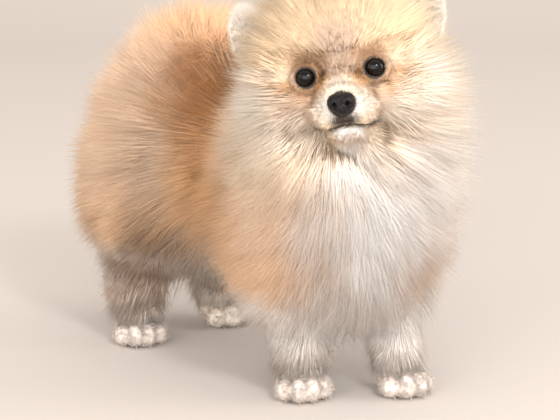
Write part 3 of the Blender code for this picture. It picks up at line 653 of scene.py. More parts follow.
def marked(points, head):
    """The coat's colour, with its painted shade and light, and the share of dark hairs at points of its surface."""
    on_head, on_tail, on_leg, on_paw = (weight[:, None] for weight in region_weights(points, head))
    body = np.tile(np.array(APRICOT), (len(points), 1))
    for colour, centre, radii, strength in BODY_MARKS:
        share = strength * blob(both_sides(points, centre), centre, radii)[:, None]
        body = body * (1 - share) + np.array(colour) * share
    body = body * (1 - on_leg * 0.85) + np.array(MIST) * on_leg * 0.85
    for colour, centre, radii, strength in LEG_MARKS:
        share = strength * blob(both_sides(points, centre), centre, radii)[:, None] * on_leg
        body = body * (1 - share) + np.array(colour) * share
    body = body * (1 - on_paw) + np.array(PAW) * on_paw * (1 - 0.25 * toe_gaps(points))[:, None]
    body = body * (1 - on_tail * 0.8) + np.array(BEIGE) * on_tail * 0.8
    # marks on one side only, with painted light on the far hind leg and at the wrists
    for colour, centre, radii, strength in NEAR_MARKS_AND_LIGHT:
        share = strength * blob(points, centre, radii)[:, None]
        body = body * (1 - share) + np.array(colour) * share
    face = np.tile(np.array(GOLD), (len(points), 1))
    for colour, centre, radii, strength in HEAD_MARKS_AND_SHADE:
        share = strength * blob(both_sides(head, centre), centre, radii)[:, None]
        face = face * (1 - share) + np.array(colour) * share
    # painted shade on the dog's right side of the face
    for colour, centre, radii, strength in RIGHT_FACE_SHADE:
        share = strength * blob(head, centre, radii)[:, None]
        face = face * (1 - share) + np.array(colour) * share
    smoke = np.full(len(points), 0.02)
    for centre, radii, strength in BODY_SMOKE:
        smoke = np.maximum(smoke, strength * blob(both_sides(points, centre), centre, radii) * (1 - on_head[:, 0]))
    for centre, radii, strength in HEAD_SMOKE:
        smoke = np.maximum(smoke, strength * blob(both_sides(head, centre), centre, radii) * on_head[:, 0])
    smoke *= 1 - np.maximum(on_paw[:, 0], blob(points, (-20, -122, 96), (30, 30, 62)))
    return body * (1 - on_head) + face * on_head, smoke


def store(obj, name, kind, values):
    """Keeps values for every vertex on the mesh."""
    layer = obj.data.attributes.new(name, kind, "POINT")
    key = {"FLOAT": "value", "FLOAT_VECTOR": "vector", "FLOAT_COLOR": "color"}[kind]
    if kind == "FLOAT_COLOR":
        values = np.hstack([values, np.ones((len(values), 1))])
    layer.data.foreach_set(key, np.asarray(values, dtype=np.float32).ravel())


def coat_plan(skin, envelope):
    """Stores on the skin how its fur lies, leans, reaches and is coloured, and returns where it grows."""
    points, outward = places(skin), normals(skin)
    body, head = in_frame(points, body_frame()), in_frame(points, head_frame())
    lie, lean = lie_of_fur(body, head, outward), lean_of_fur(body, head)
    reach = reach_of_fur(skin, envelope, lie, lean)
    on_head, on_tail, on_leg, on_paw = region_weights(body, head)
    short = face_weight(head) * on_head
    under = ramp(-outward[:, 2], 0.3, 0.9) * (1 - on_head) * (1 - on_leg)
    reach *= 1 + 0.1 * (1 - on_leg) + 0.12 * under + 0.04 * on_head
    reach += 10 * blob(both_sides(head, (1, 0, 0)), (32, 22, 30), (22, 34, 20)) * on_head
    fringe = on_head * ramp(head[:, 2], 4, 14)
    reach = np.maximum(reach, 9 * fringe)
    reach = reach * (1 - short) + np.clip(reach, 2.4, 7.5) * short
    lids = 1 - ramp(eye_distance(head), 7.5, 12)
    reach = reach * (1 - lids) + np.clip(reach, 2.2, 3.4) * lids
    reach += 4.5 * blob(both_sides(head, (1, 0, 0)), (15, -5, -21), (7, 12, 11)) * (1 - lids)
    reach += 10.0 * blob(head, (0, 10, -52), (30, 18, 14))
    reach += 8.0 * on_tail * ramp(outward[:, 2], 0.2, 0.8)
    lips = 1 - ramp(mouth_distance(head), 2.0, 5.0)
    reach = reach * (1 - lips) + np.clip(reach, 1.4, 2.2) * lips
    reach = reach * (1 + 0.35 * on_leg * (1 - on_paw) * ramp(body[:, 2], 22, 42))
    reach += 3.0 * on_leg * (1 - on_paw) * (1 - ramp(body[:, 2], 28, 42))
    reach = reach * (1 - on_paw) + (np.clip(reach, 3.6, 5.4) + 1.2 * toe_gaps(body)) * on_paw
    ways = unit(outward * (1 - lean)[:, None] + lie * lean[:, None])
    room = np.maximum(body[:, 2] - 1.0, 1.5) / np.maximum(-ways[:, 2] + 0.3, 0.3)
    reach = np.minimum(reach, np.where(body[:, 2] < 60, room, reach))
    room = (86 - np.abs(points[:, 0]) / MM) / (np.abs(ways[:, 0]) + 0.25)
    reach = np.minimum(reach, np.maximum(room, 6.0))
    tips = points + ways * (reach * 0.85 * MM)[:, None]
    tint, smoke = marked(in_frame(tips, body_frame()), in_frame(tips, head_frame()))
    ring = 0.5 * (1 - ramp(eye_distance(head), 6.5, 10.0))[:, None]
    tint = tint * (1 - ring) + np.array(UMBER) * ring
    root_tint, _ = marked(body, head)
    own_tint = root_tint * (0.8 + 0.15 * on_leg)[:, None]
    lid = (1 - ramp(eye_distance(head), 7.0, 11.0))[:, None] * 0.75
    own_tint = own_tint * (1 - lid) + np.array(LID_BROWN) * lid
    dark = np.exp(-((np.maximum(eye_distance(head) - 5.6, 0) / 1.1) ** 2))
    dark = np.maximum(dark, np.exp(-((mouth_distance(head) / 1.8) ** 2)))
    dark = np.maximum(dark, 0.8 * np.exp(-((cleft_distance(head) / 0.9) ** 2)))
    nose = np.linalg.norm((head - np.array(NOSE_AT)) / np.array((7.9, 7.6, 6.8)), axis=1)
    dark = np.maximum(dark, 1 - ramp(nose, 1.0, 1.2))
    own_tint = own_tint * (1 - dark)[:, None] + np.array(RIM) * dark[:, None]
    store(skin, "lie", "FLOAT_VECTOR", lie)
    store(skin, "lean", "FLOAT", lean)
    store(skin, "reach", "FLOAT", reach * MM)
    store(skin, "girth", "FLOAT", girth_for(reach) * MM)
    store(skin, "tint", "FLOAT_COLOR", tint)
    store(skin, "root_tint", "FLOAT_COLOR", root_tint)
    store(skin, "skin_tint", "FLOAT_COLOR", own_tint)
    store(skin, "smoke", "FLOAT", smoke)

    bare = np.maximum(1 - ramp(eye_distance(head), 5.8, 6.6), 1 - ramp(nose, 0.96, 1.08))
    bare = np.maximum(bare, 1 - ramp(mouth_distance(head), 1.1, 1.9))
    bare = np.maximum(bare, 1 - ramp(body[:, 2], 1.0, 3.0))
    grows = 1 - bare
    split = short
    long_head = on_head * (1 - split)
    trunk = (1 - on_head) * (1 - on_tail) * (1 - on_leg)
    y = body[:, 1]
    bands = [1 - ramp(y, -96, -84), ramp(y, -96, -84) * (1 - ramp(y, -44, -32)),
             ramp(y, -44, -32) * (1 - ramp(y, 30, 42)), ramp(y, 30, 42) * (1 - ramp(y, 74, 86)), ramp(y, 74, 86)]
    regions = {
        "face_coat": split * grows,
        "head_coat_left": long_head * grows * (head[:, 0] >= 0),
        "head_coat_right": long_head * grows * (head[:, 0] < 0),
        "tail_coat": on_tail * (1 - on_head),
        "foreleg_coat": on_leg * grows * (y < 0),
        "hindleg_coat": on_leg * grows * (y >= 0),
        "bib_coat": trunk * bands[0],
        "shoulder_coat_left": trunk * bands[1] * (body[:, 0] >= 0),
        "shoulder_coat_right": trunk * bands[1] * (body[:, 0] < 0),
        "flank_coat": trunk * bands[2],
        "loin_coat": trunk * bands[3],
        "rump_coat": trunk * bands[4],
    }
    return regions


def tuft_mesh(name, strands, stations, girth, bend, root_spread, tip_spread, seed):
    """A few tapered hairs one unit long along z that bend towards x, with widths and bends as shares of its girth."""
    rng = np.random.default_rng(seed)
    bm = bmesh.new()
    along = bm.verts.layers.float.new("along")
    hair = bm.verts.layers.float.new("hair")
    across = bm.verts.layers.float.new("across")

    def vertex(at, share, number, slot):
        vert = bm.verts.new(at)
        vert[along], vert[hair], vert[across] = share, number, slot
        return vert

    for index in range(strands):
        length = rng.uniform(0.84, 1.0) if index else 1.0
        turn = math.tau * (index + rng.uniform(0, 0.8)) / strands
        root = Vector((math.cos(turn), math.sin(turn), 0)) * root_spread * rng.uniform(0.4, 1.0)
        lean_out = root * (tip_spread / root_spread) + Vector((*rng.normal(0, 0.4 * tip_spread, 2), 0))
        curl = Vector((bend * rng.uniform(0.5, 1.5), 0, 0))
        number = rng.uniform(0, 1)
        rings = []
        for share, wide in (*stations, (1.0, 0.0)):
            middle = root.lerp(lean_out, share) + curl * (share * length) ** 2 + Vector((0, 0, share * length))
            if not wide:
                rings.append([vertex(middle, share, number, (index + 0.45) / strands)])
                continue
            ring = []
            for k in range(3):
                angle = math.tau * k / 3 + turn
                at = middle + Vector((math.cos(angle), math.sin(angle), 0)) * girth * wide / 2
                ring.append(vertex(at, share, number, (index + 0.45 * k) / strands))
            rings.append(ring)
        bm.faces.new(rings[0][::-1])
        for ring, following in zip(rings, rings[1:]):
            for k in range(3):
                j = (k + 1) % 3
                corners = (ring[k], ring[j], following[j], following[k]) if len(following) > 1 else (
                    ring[k], ring[j], following[0]
                )
                bm.faces.new(corners)
    bmesh.ops.triangulate(bm, faces=bm.faces)
    for face in bm.faces:
        face.smooth = True
    return object_from(bm, name)


def add_node(tree, kind, settings=(), **inputs):
    """A node with its settings, and its inputs linked or set, underscores in their names for spaces."""
    made = tree.nodes.new(kind)
    for name, value in dict(settings).items():
        setattr(made, name, value)
    for name, value in inputs.items():
        name = name.replace("_", " ")
        found = [socket for socket in made.inputs if socket.name == name and socket.enabled]
        if isinstance(value, bpy.types.NodeSocket):
            tree.links.new(value, found[0])
        else:
            found[0].default_value = value
    return made


def kept(tree, name, kind):
    """An attribute that the surface carries."""
    made = add_node(tree, "GeometryNodeInputNamedAttribute", {"data_type": kind})
    made.inputs["Name"].default_value = name
    return next(socket for socket in made.outputs if socket.enabled)


def vector_sum(tree, first, second):
    made = add_node(tree, "ShaderNodeVectorMath", {"operation": "ADD"})
    tree.links.new(first, made.inputs[0])
    tree.links.new(second, made.inputs[1])
    return made.outputs[0]


def scaled(tree, vector, factor):
    made = add_node(tree, "ShaderNodeVectorMath", {"operation": "SCALE"})
    tree.links.new(vector, made.inputs[0])
    if isinstance(factor, bpy.types.NodeSocket):
        tree.links.new(factor, made.inputs["Scale"])
    else:
        made.inputs["Scale"].default_value = factor
    return made.outputs[0]


def math_node(tree, operation, first, second):
    made = add_node(tree, "ShaderNodeMath", {"operation": operation})
    for socket, value in zip(made.inputs, (first, second)):
        if isinstance(value, bpy.types.NodeSocket):
            tree.links.new(value, socket)
        else:
            socket.default_value = value
    return made.outputs[0]


def coat_tree():
    """Grows tufts from a skin that carries the coat's plan."""
    tree = bpy.data.node_groups.new("coat", "GeometryNodeTree")
    for name, kind in (
        ("Skin", "NodeSocketGeometry"), ("Tuft", "NodeSocketObject"), ("Tufts per square metre", "NodeSocketFloat"),
        ("Seed", "NodeSocketInt"), ("Stray", "NodeSocketFloat"), ("Wave", "NodeSocketFloat"),
        ("Wave size", "NodeSocketFloat"), ("Shortest", "NodeSocketFloat"), ("Patch", "NodeSocketFloat"),
        ("Finish", "NodeSocketMaterial"),
    ):
        tree.interface.new_socket(name, in_out="INPUT", socket_type=kind)
    tree.interface.new_socket("Coat", in_out="OUTPUT", socket_type="NodeSocketGeometry")
    given = tree.nodes.new("NodeGroupInput").outputs

    density = math_node(tree, "MULTIPLY", kept(tree, "grows", "FLOAT"), given["Tufts per square metre"])
    spots = add_node(
        tree, "GeometryNodeDistributePointsOnFaces", {"distribute_method": "RANDOM"},
        Mesh=given["Skin"], Density=density, Seed=given["Seed"],
    )
    lean = kept(tree, "lean", "FLOAT")
    upright = math_node(tree, "SUBTRACT", 1.0, lean)
    lie = kept(tree, "lie", "FLOAT_VECTOR")
    way = vector_sum(tree, scaled(tree, spots.outputs["Normal"], upright), scaled(tree, lie, lean))
    place = add_node(tree, "GeometryNodeInputPosition").outputs[0]
    noise = add_node(
        tree, "ShaderNodeTexNoise", {"noise_dimensions": "3D"}, Vector=place, Scale=given["Wave size"], Detail=2.0
    )
    centred = vector_sum(tree, noise.outputs["Color"], constant(tree, (-0.5, -0.5, -0.5)))
    way = vector_sum(tree, way, scaled(tree, centred, given["Wave"]))
    stray = add_node(
        tree, "FunctionNodeRandomValue", {"data_type": "FLOAT_VECTOR"},
        Min=(-1, -1, -1), Max=(1, 1, 1), Seed=given["Seed"],
    )
    way = vector_sum(tree, way, scaled(tree, stray.outputs[0], given["Stray"]))
    turned = add_node(
        tree, "FunctionNodeAxesToRotation", {"primary_axis": "Z", "secondary_axis": "X"},
        Primary_Axis=way, Secondary_Axis=vector_sum(tree, lie, scaled(tree, stray.outputs[0], 0.4)),
    )
    size = add_node(tree, "FunctionNodeRandomValue", {"data_type": "FLOAT"})
    size_in = [socket for socket in size.inputs if socket.enabled]
    tree.links.new(given["Shortest"], size_in[0])
    size_in[1].default_value = 1.06
    tree.links.new(math_node(tree, "ADD", given["Seed"], 7), size_in[3])
    size_out = next(socket for socket in size.outputs if socket.enabled)
    length = math_node(tree, "MULTIPLY", kept(tree, "reach", "FLOAT"), size_out)
    size_of_tuft = add_node(tree, "ShaderNodeCombineXYZ")
    for socket, value in zip(size_of_tuft.inputs, (kept(tree, "girth", "FLOAT"),) * 2 + (length,)):
        tree.links.new(value, socket)

    points = stored(tree, spots.outputs["Points"], "root place", "FLOAT_VECTOR", "POINT",
                    kept(tree, "OFBake", "FLOAT_VECTOR"))
    shade = add_node(tree, "FunctionNodeRandomValue", {"data_type": "FLOAT"})
    tree.links.new(math_node(tree, "ADD", given["Seed"], 3), [s for s in shade.inputs if s.enabled][3])
    points = stored(tree, points, "shade", "FLOAT", "POINT", next(s for s in shade.outputs if s.enabled))
    tuft = add_node(tree, "GeometryNodeObjectInfo", {"transform_space": "ORIGINAL"}, Object=given["Tuft"])
    grown = add_node(
        tree, "GeometryNodeInstanceOnPoints",
        Points=points, Instance=tuft.outputs["Geometry"], Rotation=turned.outputs[0],
    )
    tree.links.new(size_of_tuft.outputs[0], grown.inputs["Scale"])
    real = add_node(tree, "GeometryNodeRealizeInstances", Geometry=grown.outputs[0])
    across = add_node(tree, "ShaderNodeCombineXYZ")
    tree.links.new(kept(tree, "across", "FLOAT"), across.inputs[0])
    tree.links.new(kept(tree, "along", "FLOAT"), across.inputs[1])
    patch = vector_sum(
        tree, kept(tree, "root place", "FLOAT_VECTOR"), scaled(tree, across.outputs[0], given["Patch"])
    )
    coat = stored(tree, real.outputs[0], "OFBake", "FLOAT2", "CORNER", patch)
    dressed = add_node(tree, "GeometryNodeSetMaterial", Geometry=coat, Material=given["Finish"])
    shown = tree.nodes.new("NodeGroupOutput")
    tree.links.new(dressed.outputs[0], shown.inputs["Coat"])
    return tree


def constant(tree, value):
    made = add_node(tree, "ShaderNodeCombineXYZ")
    for socket, part in zip(made.inputs, value):
        socket.default_value = part
    return made.outputs[0]


def stored(tree, geometry, name, kind, domain, value):
    made = add_node(
        tree, "GeometryNodeStoreNamedAttribute", {"data_type": kind, "domain": domain}, Geometry=geometry
    )
    made.inputs["Name"].default_value = name
    target = next(s for s in made.inputs if s.enabled and s.name == "Value")
    tree.links.new(value, target)
    return made.outputs[0]


def grow(tree, skin, name, grows, tuft, per_square_mm, seed, finish, stray, wave, wave_size, shortest):
    """Runs the tree on one region of the skin and keeps the result as a piece."""
    if "grows" in skin.data.attributes:
        skin.data.attributes.remove(skin.data.attributes["grows"])
    store(skin, "grows", "FLOAT", grows)
    modifier = skin.modifiers.new("coat", "NODES")
    modifier.node_group = tree
    values = {
        "Tuft": tuft, "Tufts per square metre": per_square_mm / MM**2, "Seed": seed, "Stray": stray, "Wave": wave,
        "Wave size": wave_size, "Shortest": shortest, "Patch": 0.003, "Finish": finish,
    }
    for socket in tree.interface.items_tree:
        if socket.in_out == "INPUT" and socket.name in values:
            modifier[socket.identifier] = values[socket.name]
    bpy.context.view_layer.update()
    made = bpy.data.meshes.new_from_object(skin.evaluated_get(bpy.context.evaluated_depsgraph_get()))
    skin.modifiers.remove(modifier)
    made.name = name
    for spare in ("lie", "lean", "reach", "girth", "skin_tint", "grows", "root place", "across"):
        if spare in made.attributes:
            made.attributes.remove(made.attributes[spare])
    made.shade_smooth()
    piece = bpy.data.objects.new(name, made)
    bpy.context.scene.collection.objects.link(piece)
    spots = places(piece)
    past = np.maximum(np.abs(spots[:, 0]) - SIDE_ROOM * MM, 0)
    spots[:, 0] -= np.sign(spots[:, 0]) * past * SIDE_PRESS
    spots[:, 2] = np.maximum(spots[:, 2], FLOOR_ROOM * MM)
    move_to(piece, spots)
    return piece


def new_material(name, roughness, **settings):
    """A Principled material with the values that are the same all over set on its shader."""
    made = bpy.data.materials.new(name)
    made.use_nodes = True
    shader = made.node_tree.nodes["Principled BSDF"]
    shader.inputs["Roughness"].default_value = roughness
    for socket, value in settings.items():
        shader.inputs[socket.replace("_", " ")].default_value = value
    return made, made.node_tree, shader


def shader_mix(tree, kind, factor, first, second):
    """Blends two colours by a factor that varies over the surface."""
    made = tree.nodes.new("ShaderNodeMix")
    made.data_type = "RGBA"
    made.blend_type = kind
    for index, value in ((0, factor), (6, first), (7, second)):
        if isinstance(value, bpy.types.NodeSocket):
            tree.links.new(value, made.inputs[index])
        else:
            made.inputs[index].default_value = value
    return made.outputs[2]


def map_range(tree, value, low, high, to_low, to_high):
    made = tree.nodes.new("ShaderNodeMapRange")
    tree.links.new(value, made.inputs["Value"])
    for name, number in (("From Min", low), ("From Max", high), ("To Min", to_low), ("To Max", to_high)):
        made.inputs[name].default_value = number
    return made.outputs["Result"]


def attribute(tree, name, output):
    made = tree.nodes.new("ShaderNodeAttribute")
    made.attribute_name = name
    return made.outputs[output]


def hair_colour_group():
    """The colour of a hair: its root is duller and darker with painted shade deep in the coat, its tip paler, each
    differs a little and some are dark.
    """
    tree = bpy.data.node_groups.new("hair colour", "ShaderNodeTree")
    tree.interface.new_socket("Root shade", in_out="INPUT", socket_type="NodeSocketFloat")
    tree.interface.new_socket("Variation", in_out="INPUT", socket_type="NodeSocketFloat")
    tree.interface.new_socket("Colour", in_out="OUTPUT", socket_type="NodeSocketColor")
    given = tree.nodes.new("NodeGroupInput").outputs
    tint, root_tint = attribute(tree, "tint", "Color"), attribute(tree, "root_tint", "Color")
    along = attribute(tree, "along", "Fac")
    hair = attribute(tree, "hair", "Fac")
    shade = attribute(tree, "shade", "Fac")
    smoke = attribute(tree, "smoke", "Fac")
    own = math_node(tree, "FRACT", math_node(tree, "ADD", hair, math_node(tree, "MULTIPLY", shade, 7.31)), 0.0)
    is_dark = math_node(tree, "LESS_THAN", own, math_node(tree, "MULTIPLY", smoke, 0.5))
    toward_tip = map_range(tree, along, 0.35, 0.95, 0.25, 0.85)
    darkness = math_node(tree, "MULTIPLY", is_dark, math_node(tree, "MULTIPLY", toward_tip, 0.78))
    tint = shader_mix(tree, "MIX", map_range(tree, along, 0.15, 0.65, 0.0, 1.0), root_tint, tint)
    colour = shader_mix(tree, "MIX", darkness, tint, (*DUSK, 1.0))
    mixed = math_node(tree, "SUBTRACT", math_node(tree, "ADD", shade, own), 1.0)
    spread = math_node(tree, "MULTIPLY", mixed, given["Variation"])
    bright = math_node(tree, "ADD", spread, 1.0)
    # painted shade: each hair darker towards its root, deep in the coat
    root = math_node(tree, "MULTIPLY", map_range(tree, along, 0.0, 0.6, 1.0, 0.0), given["Root shade"])
    bright = math_node(tree, "MULTIPLY", bright, math_node(tree, "SUBTRACT", 1.0, root))
    scale = tree.nodes.new("ShaderNodeVectorMath")
    scale.operation = "SCALE"
    tree.links.new(colour, scale.inputs[0])
    tree.links.new(bright, scale.inputs["Scale"])
    shown = tree.nodes.new("NodeGroupOutput")
    tree.links.new(scale.outputs[0], shown.inputs["Colour"])
    return tree


def coat_material(name, group, painted_root_shade, variation):
    made, tree, shader = new_material(name, 0.8, Specular_IOR_Level=0.2)
    used = tree.nodes.new("ShaderNodeGroup")
    used.node_tree = group
    used.inputs["Root shade"].default_value = painted_root_shade
    used.inputs["Variation"].default_value = variation
    tree.links.new(used.outputs["Colour"], shader.inputs["Base Color"])
    return made


def grain_group():
    """Fine pebbled grain as a height, from object coordinates."""
    tree = bpy.data.node_groups.new("grain", "ShaderNodeTree")
    tree.interface.new_socket("Size", in_out="INPUT", socket_type="NodeSocketFloat")
    tree.interface.new_socket("Height", in_out="OUTPUT", socket_type="NodeSocketFloat")
    given = tree.nodes.new("NodeGroupInput").outputs
    place = tree.nodes.new("ShaderNodeTexCoord").outputs["Object"]
    pebbles = tree.nodes.new("ShaderNodeTexVoronoi")
    tree.links.new(place, pebbles.inputs["Vector"])
    tree.links.new(given["Size"], pebbles.inputs["Scale"])
    shown = tree.nodes.new("NodeGroupOutput")
    tree.links.new(pebbles.outputs["Distance"], shown.inputs["Height"])
    return tree


def with_grain(tree, shader, grain, size, strength):
    used = tree.nodes.new("ShaderNodeGroup")
    used.node_tree = grain
    used.inputs["Size"].default_value = size
    bump = tree.nodes.new("ShaderNodeBump")
    bump.inputs["Strength"].default_value = strength
    bump.inputs["Distance"].default_value = 0.0004
    tree.links.new(used.outputs["Height"], bump.inputs["Height"])
    tree.links.new(bump.outputs["Normal"], shader.inputs["Normal"])
    return used.outputs["Height"]


def skin_material(grain):
    made, tree, shader = new_material("skin", 0.6, Specular_IOR_Level=0.3)
    with_grain(tree, shader, grain, 900.0, 0.25)
    tree.links.new(attribute(tree, "skin_tint", "Color"), shader.inputs["Base Color"])
    return made


def nose_material(grain):
    made, tree, shader = new_material("nose leather", 0.3, Specular_IOR_Level=0.16)
    height = with_grain(tree, shader, grain, 1100.0, 0.7)
    dark = shader_mix(tree, "MIX", height, (0.003, 0.0025, 0.0025, 1), (0.011, 0.009, 0.009, 1))
    tree.links.new(dark, shader.inputs["Base Color"])
    return made


def eye_material():
    made, tree, shader = new_material("eye gloss", 0.04, Specular_IOR_Level=0.2)
    ring = map_range(tree, attribute(tree, "from_pupil", "Fac"), 0.42, 0.62, 0.0, 1.0)
    edge = map_range(tree, attribute(tree, "from_pupil", "Fac"), 0.62, 0.95, 1.0, 0.0)
    iris = math_node(tree, "MULTIPLY", ring, edge)
    colour = shader_mix(tree, "MIX", iris, (0.002, 0.002, 0.002, 1), (0.010, 0.005, 0.003, 1))
    tree.links.new(colour, shader.inputs["Base Color"])
    return made


def claw_material(grain):
    made, tree, shader = new_material("claw horn", 0.35)
    with_grain(tree, shader, grain, 1500.0, 0.15)
    colour = shader_mix(
        tree, "MIX", attribute(tree, "along", "Fac"), (0.16, 0.12, 0.10, 1), (0.34, 0.27, 0.22, 1)
    )
    tree.links.new(colour, shader.inputs["Base Color"])
    return made


def ear_skin_material(grain):
    made, tree, shader = new_material("ear skin", 0.65)
    with_grain(tree, shader, grain, 900.0, 0.2)
    noise = tree.nodes.new("ShaderNodeTexNoise")
    tree.links.new(tree.nodes.new("ShaderNodeTexCoord").outputs["Object"], noise.inputs["Vector"])
    noise.inputs["Scale"].default_value = 180.0
    colour = shader_mix(tree, "MIX", noise.outputs["Fac"], (*EAR_PINK, 1), (*CREAM, 1))
    tree.links.new(colour, shader.inputs["Base Color"])
    return made


def make_eye(name, side):
    """An eyeball with how far each point is from the middle of the pupil."""
    bm = bmesh.new()
    centre = head_frame() @ vec(eye_place(side))
    axis = head_frame().to_3x3() @ eye_axis(side)
    bmesh.ops.create_uvsphere(
        bm, u_segments=48, v_segments=32, radius=EYE_RADIUS * MM * 0.995,
        matrix=Matrix.Translation(centre) @ axis.to_track_quat("Z", "Y").to_matrix().to_4x4(),
    )
    eye = object_from(bm, name)
    eye.data.shade_smooth()
    away = unit(places(eye) - np.array(centre)) @ np.array(axis)
    store(eye, "from_pupil", "FLOAT", np.arccos(np.clip(away, -1, 1)) / math.radians(55))
    return eye


def make_nose():
    """The nose leather: two wings, a low front and a bridge, with nostrils that turn out into slits."""
    frame = head_frame()
    x, y, z = NOSE_AT
    wide, deep, high = NOSE_SIZE
    bm = bmesh.new()
    for side in (-1, 1):
        add_ball(bm, (x + side * 0.42 * wide, y, z + 0.8), (0.6 * wide, deep - 1, 0.8 * high), frame)
    add_ball(bm, (x, y - 0.4, z - 2.2), (0.5 * wide, deep - 1.2, 0.7 * high), frame)
    add_ball(bm, (x, y + 1.0, z + 2.6), (0.72 * wide, deep - 0.6, 0.55 * high), frame)
    nose = moulded(object_from(bm, "nose_leather"), NOSE_VOXEL, 5)
    bm = bmesh.new()
    for side in (-1, 1):
        inner, front = (x + side * 3.0, y - 3.2, z - 0.2), (x + side * 4.4, y - 8.0, z)
        middle, slit = (x + side * 4.2, y - 4.6, z - 0.8), (x + side * 7.8, y - 3.2, z - 2.2)
        add_limb(bm, inner, 1.0, front, 1.9, frame)
        add_limb(bm, middle, 0.9, slit, 0.6, frame)
    cut(nose, moulded(object_from(bm, "nostrils"), 0.3, 2))
    nose.data.shade_smooth()
    return nose


def make_ear(name, side):
    """A pinna with a cup that opens to the front."""
    mirror = Vector((side, 1, 1))
    root, tip = Vector(EAR_ROOT) * mirror, Vector(EAR_TIP) * mirror
    along = (tip - root).normalized()
    outward = Vector(EAR_FACES) * mirror
    front = (outward - along * outward.dot(along)).normalized()
    turned = Matrix((front.cross(along), front, along)).transposed().to_4x4()
    frame = head_frame() @ Matrix.Translation(vec(root.lerp(tip, 0.5))) @ turned
    pinna, cup = bmesh.new(), bmesh.new()
    size = Vector(EAR_SIZE) - Vector((1.2, 0.9, 1.2))
    add_ball(pinna, (0, 0, 0), size, frame, 5)
    add_ball(cup, EAR_CUP_AT, Vector(EAR_CUP_SIZE) - Vector((0.4, 0.2, 0.4)), frame, 5)
    ear = cut(object_from(pinna, name), object_from(cup, "cup"))
    moulded(ear, EAR_VOXEL, 4)
    ear.data.shade_smooth()

    points, outward = places(ear), normals(ear)
    lie = np.array(head_frame().to_3x3() @ along) + outward * 0.0
    lie = unit(lie - outward * np.sum(lie * outward, axis=1)[:, None])
    inside = ramp(outward @ np.array(head_frame().to_3x3() @ front), 0.1, 0.6)
    height = in_frame(points, frame)[:, 2] / EAR_SIZE[2]
    store(ear, "lie", "FLOAT_VECTOR", lie)
    store(ear, "lean", "FLOAT", np.full(len(points), 0.8))
    reach = 7.5 - 1.5 * inside + ramp(-height, -0.2, 0.8)
    store(ear, "reach", "FLOAT", reach * MM)
    store(ear, "girth", "FLOAT", girth_for(reach) * MM)
    tint = np.array(WHITE) * 0.5 + np.array(CREAM) * 0.42
    tint = np.tile(tint, (len(points), 1))
    store(ear, "tint", "FLOAT_COLOR", tint)
    store(ear, "root_tint", "FLOAT_COLOR", tint * (1 - 0.1 * inside[:, None]))
    store(ear, "smoke", "FLOAT", np.zeros(len(points)))
    return ear, 1.0 - 0.3 * inside


def make_claws():
    """Curved claws that taper, in front of each toe."""
    bm = bmesh.new()
    along = bm.verts.layers.float.new("along")
    for at, turn, _, _ in LEGS:
        frame = foot_frame(at, turn)
        for across, ahead, splay in CLAWS:
            claw = frame @ Matrix.Translation(vec((across, ahead, CLAW_HEIGHT)))
            claw = claw @ Matrix.Rotation(math.radians(-splay), 4, "Z")
            rings = []
            for i in range(7):
                share = i / 6
                middle = Vector((0, 2.0 - CLAW_LENGTH * share, -0.3 - 3.4 * share * share))
                radius = CLAW_RADIUS * (1 - 0.88 * share**1.6)
                ring = []
                for k in range(10):
                    angle = math.tau * k / 10
                    vert = bm.verts.new(claw @ vec(middle + Vector((math.cos(angle) * 0.8, 0, math.sin(angle))) * radius))
                    vert[along] = share
                    ring.append(vert)
                rings.append(ring)
            bm.faces.new(rings[0])
            bm.faces.new(rings[-1][::-1])
            for ring, following in zip(rings, rings[1:]):
                for k in range(10):
                    j = (k + 1) % 10
                    bm.faces.new((ring[k], following[k], following[j], ring[j]))
    bmesh.ops.recalc_face_normals(bm, faces=bm.faces)
    claws = object_from(bm, "claws")
    claws.data.shade_smooth()
    return claws


def plain_floor():
    """A pale floor that sweeps up behind the dog."""
    bm = bmesh.new()
    profile = [(-2.5, 0.0), (1.2, 0.0)]
    for i in range(1, 13):
        turn = 0.5 * math.pi * i / 12
        profile.append((1.2 + 1.2 * math.sin(turn), 1.2 - 1.2 * math.cos(turn)))
    profile.append((2.4, 4.0))
    heading = Matrix.Rotation(math.radians(-CAMERA_TURN), 4, "Z")
    rows = [[bm.verts.new(heading @ Vector((side * 4.0, ahead, up))) for side in (-1, 1)] for ahead, up in profile]
    for row, following in zip(rows, rows[1:]):
        face = bm.faces.new((row[0], row[1], following[1], following[0]))
        face.smooth = True
    floor = object_from(bm, "floor")
    made, tree, shader = new_material("floor paper", 0.85, Specular_IOR_Level=0.2)
    noise = tree.nodes.new("ShaderNodeTexNoise")
    tree.links.new(tree.nodes.new("ShaderNodeTexCoord").outputs["Object"], noise.inputs["Vector"])
    noise.inputs["Scale"].default_value = 3.0
    colour = shader_mix(tree, "MIX", noise.outputs["Fac"], (0.545, 0.50, 0.465, 1), (0.53, 0.485, 0.45, 1))
    tree.links.new(colour, shader.inputs["Base Color"])
    floor.data.materials.append(made)


def softbox(name, place, aim, size, watts, colour):
    light = bpy.data.lights.new(name, "AREA")
    light.shape = "RECTANGLE"
    light.size, light.size_y = size
    light.energy = watts
    light.color = colour
    obj = bpy.data.objects.new(name, light)
    heading = Matrix.Rotation(math.radians(-CAMERA_TURN), 4, "Z")
    at, target = heading @ Vector(place), Vector(aim)
    obj.matrix_world = Matrix.Translation(at) @ (target - at).to_track_quat("-Z", "Y").to_matrix().to_4x4()
    bpy.context.scene.collection.objects.link(obj)


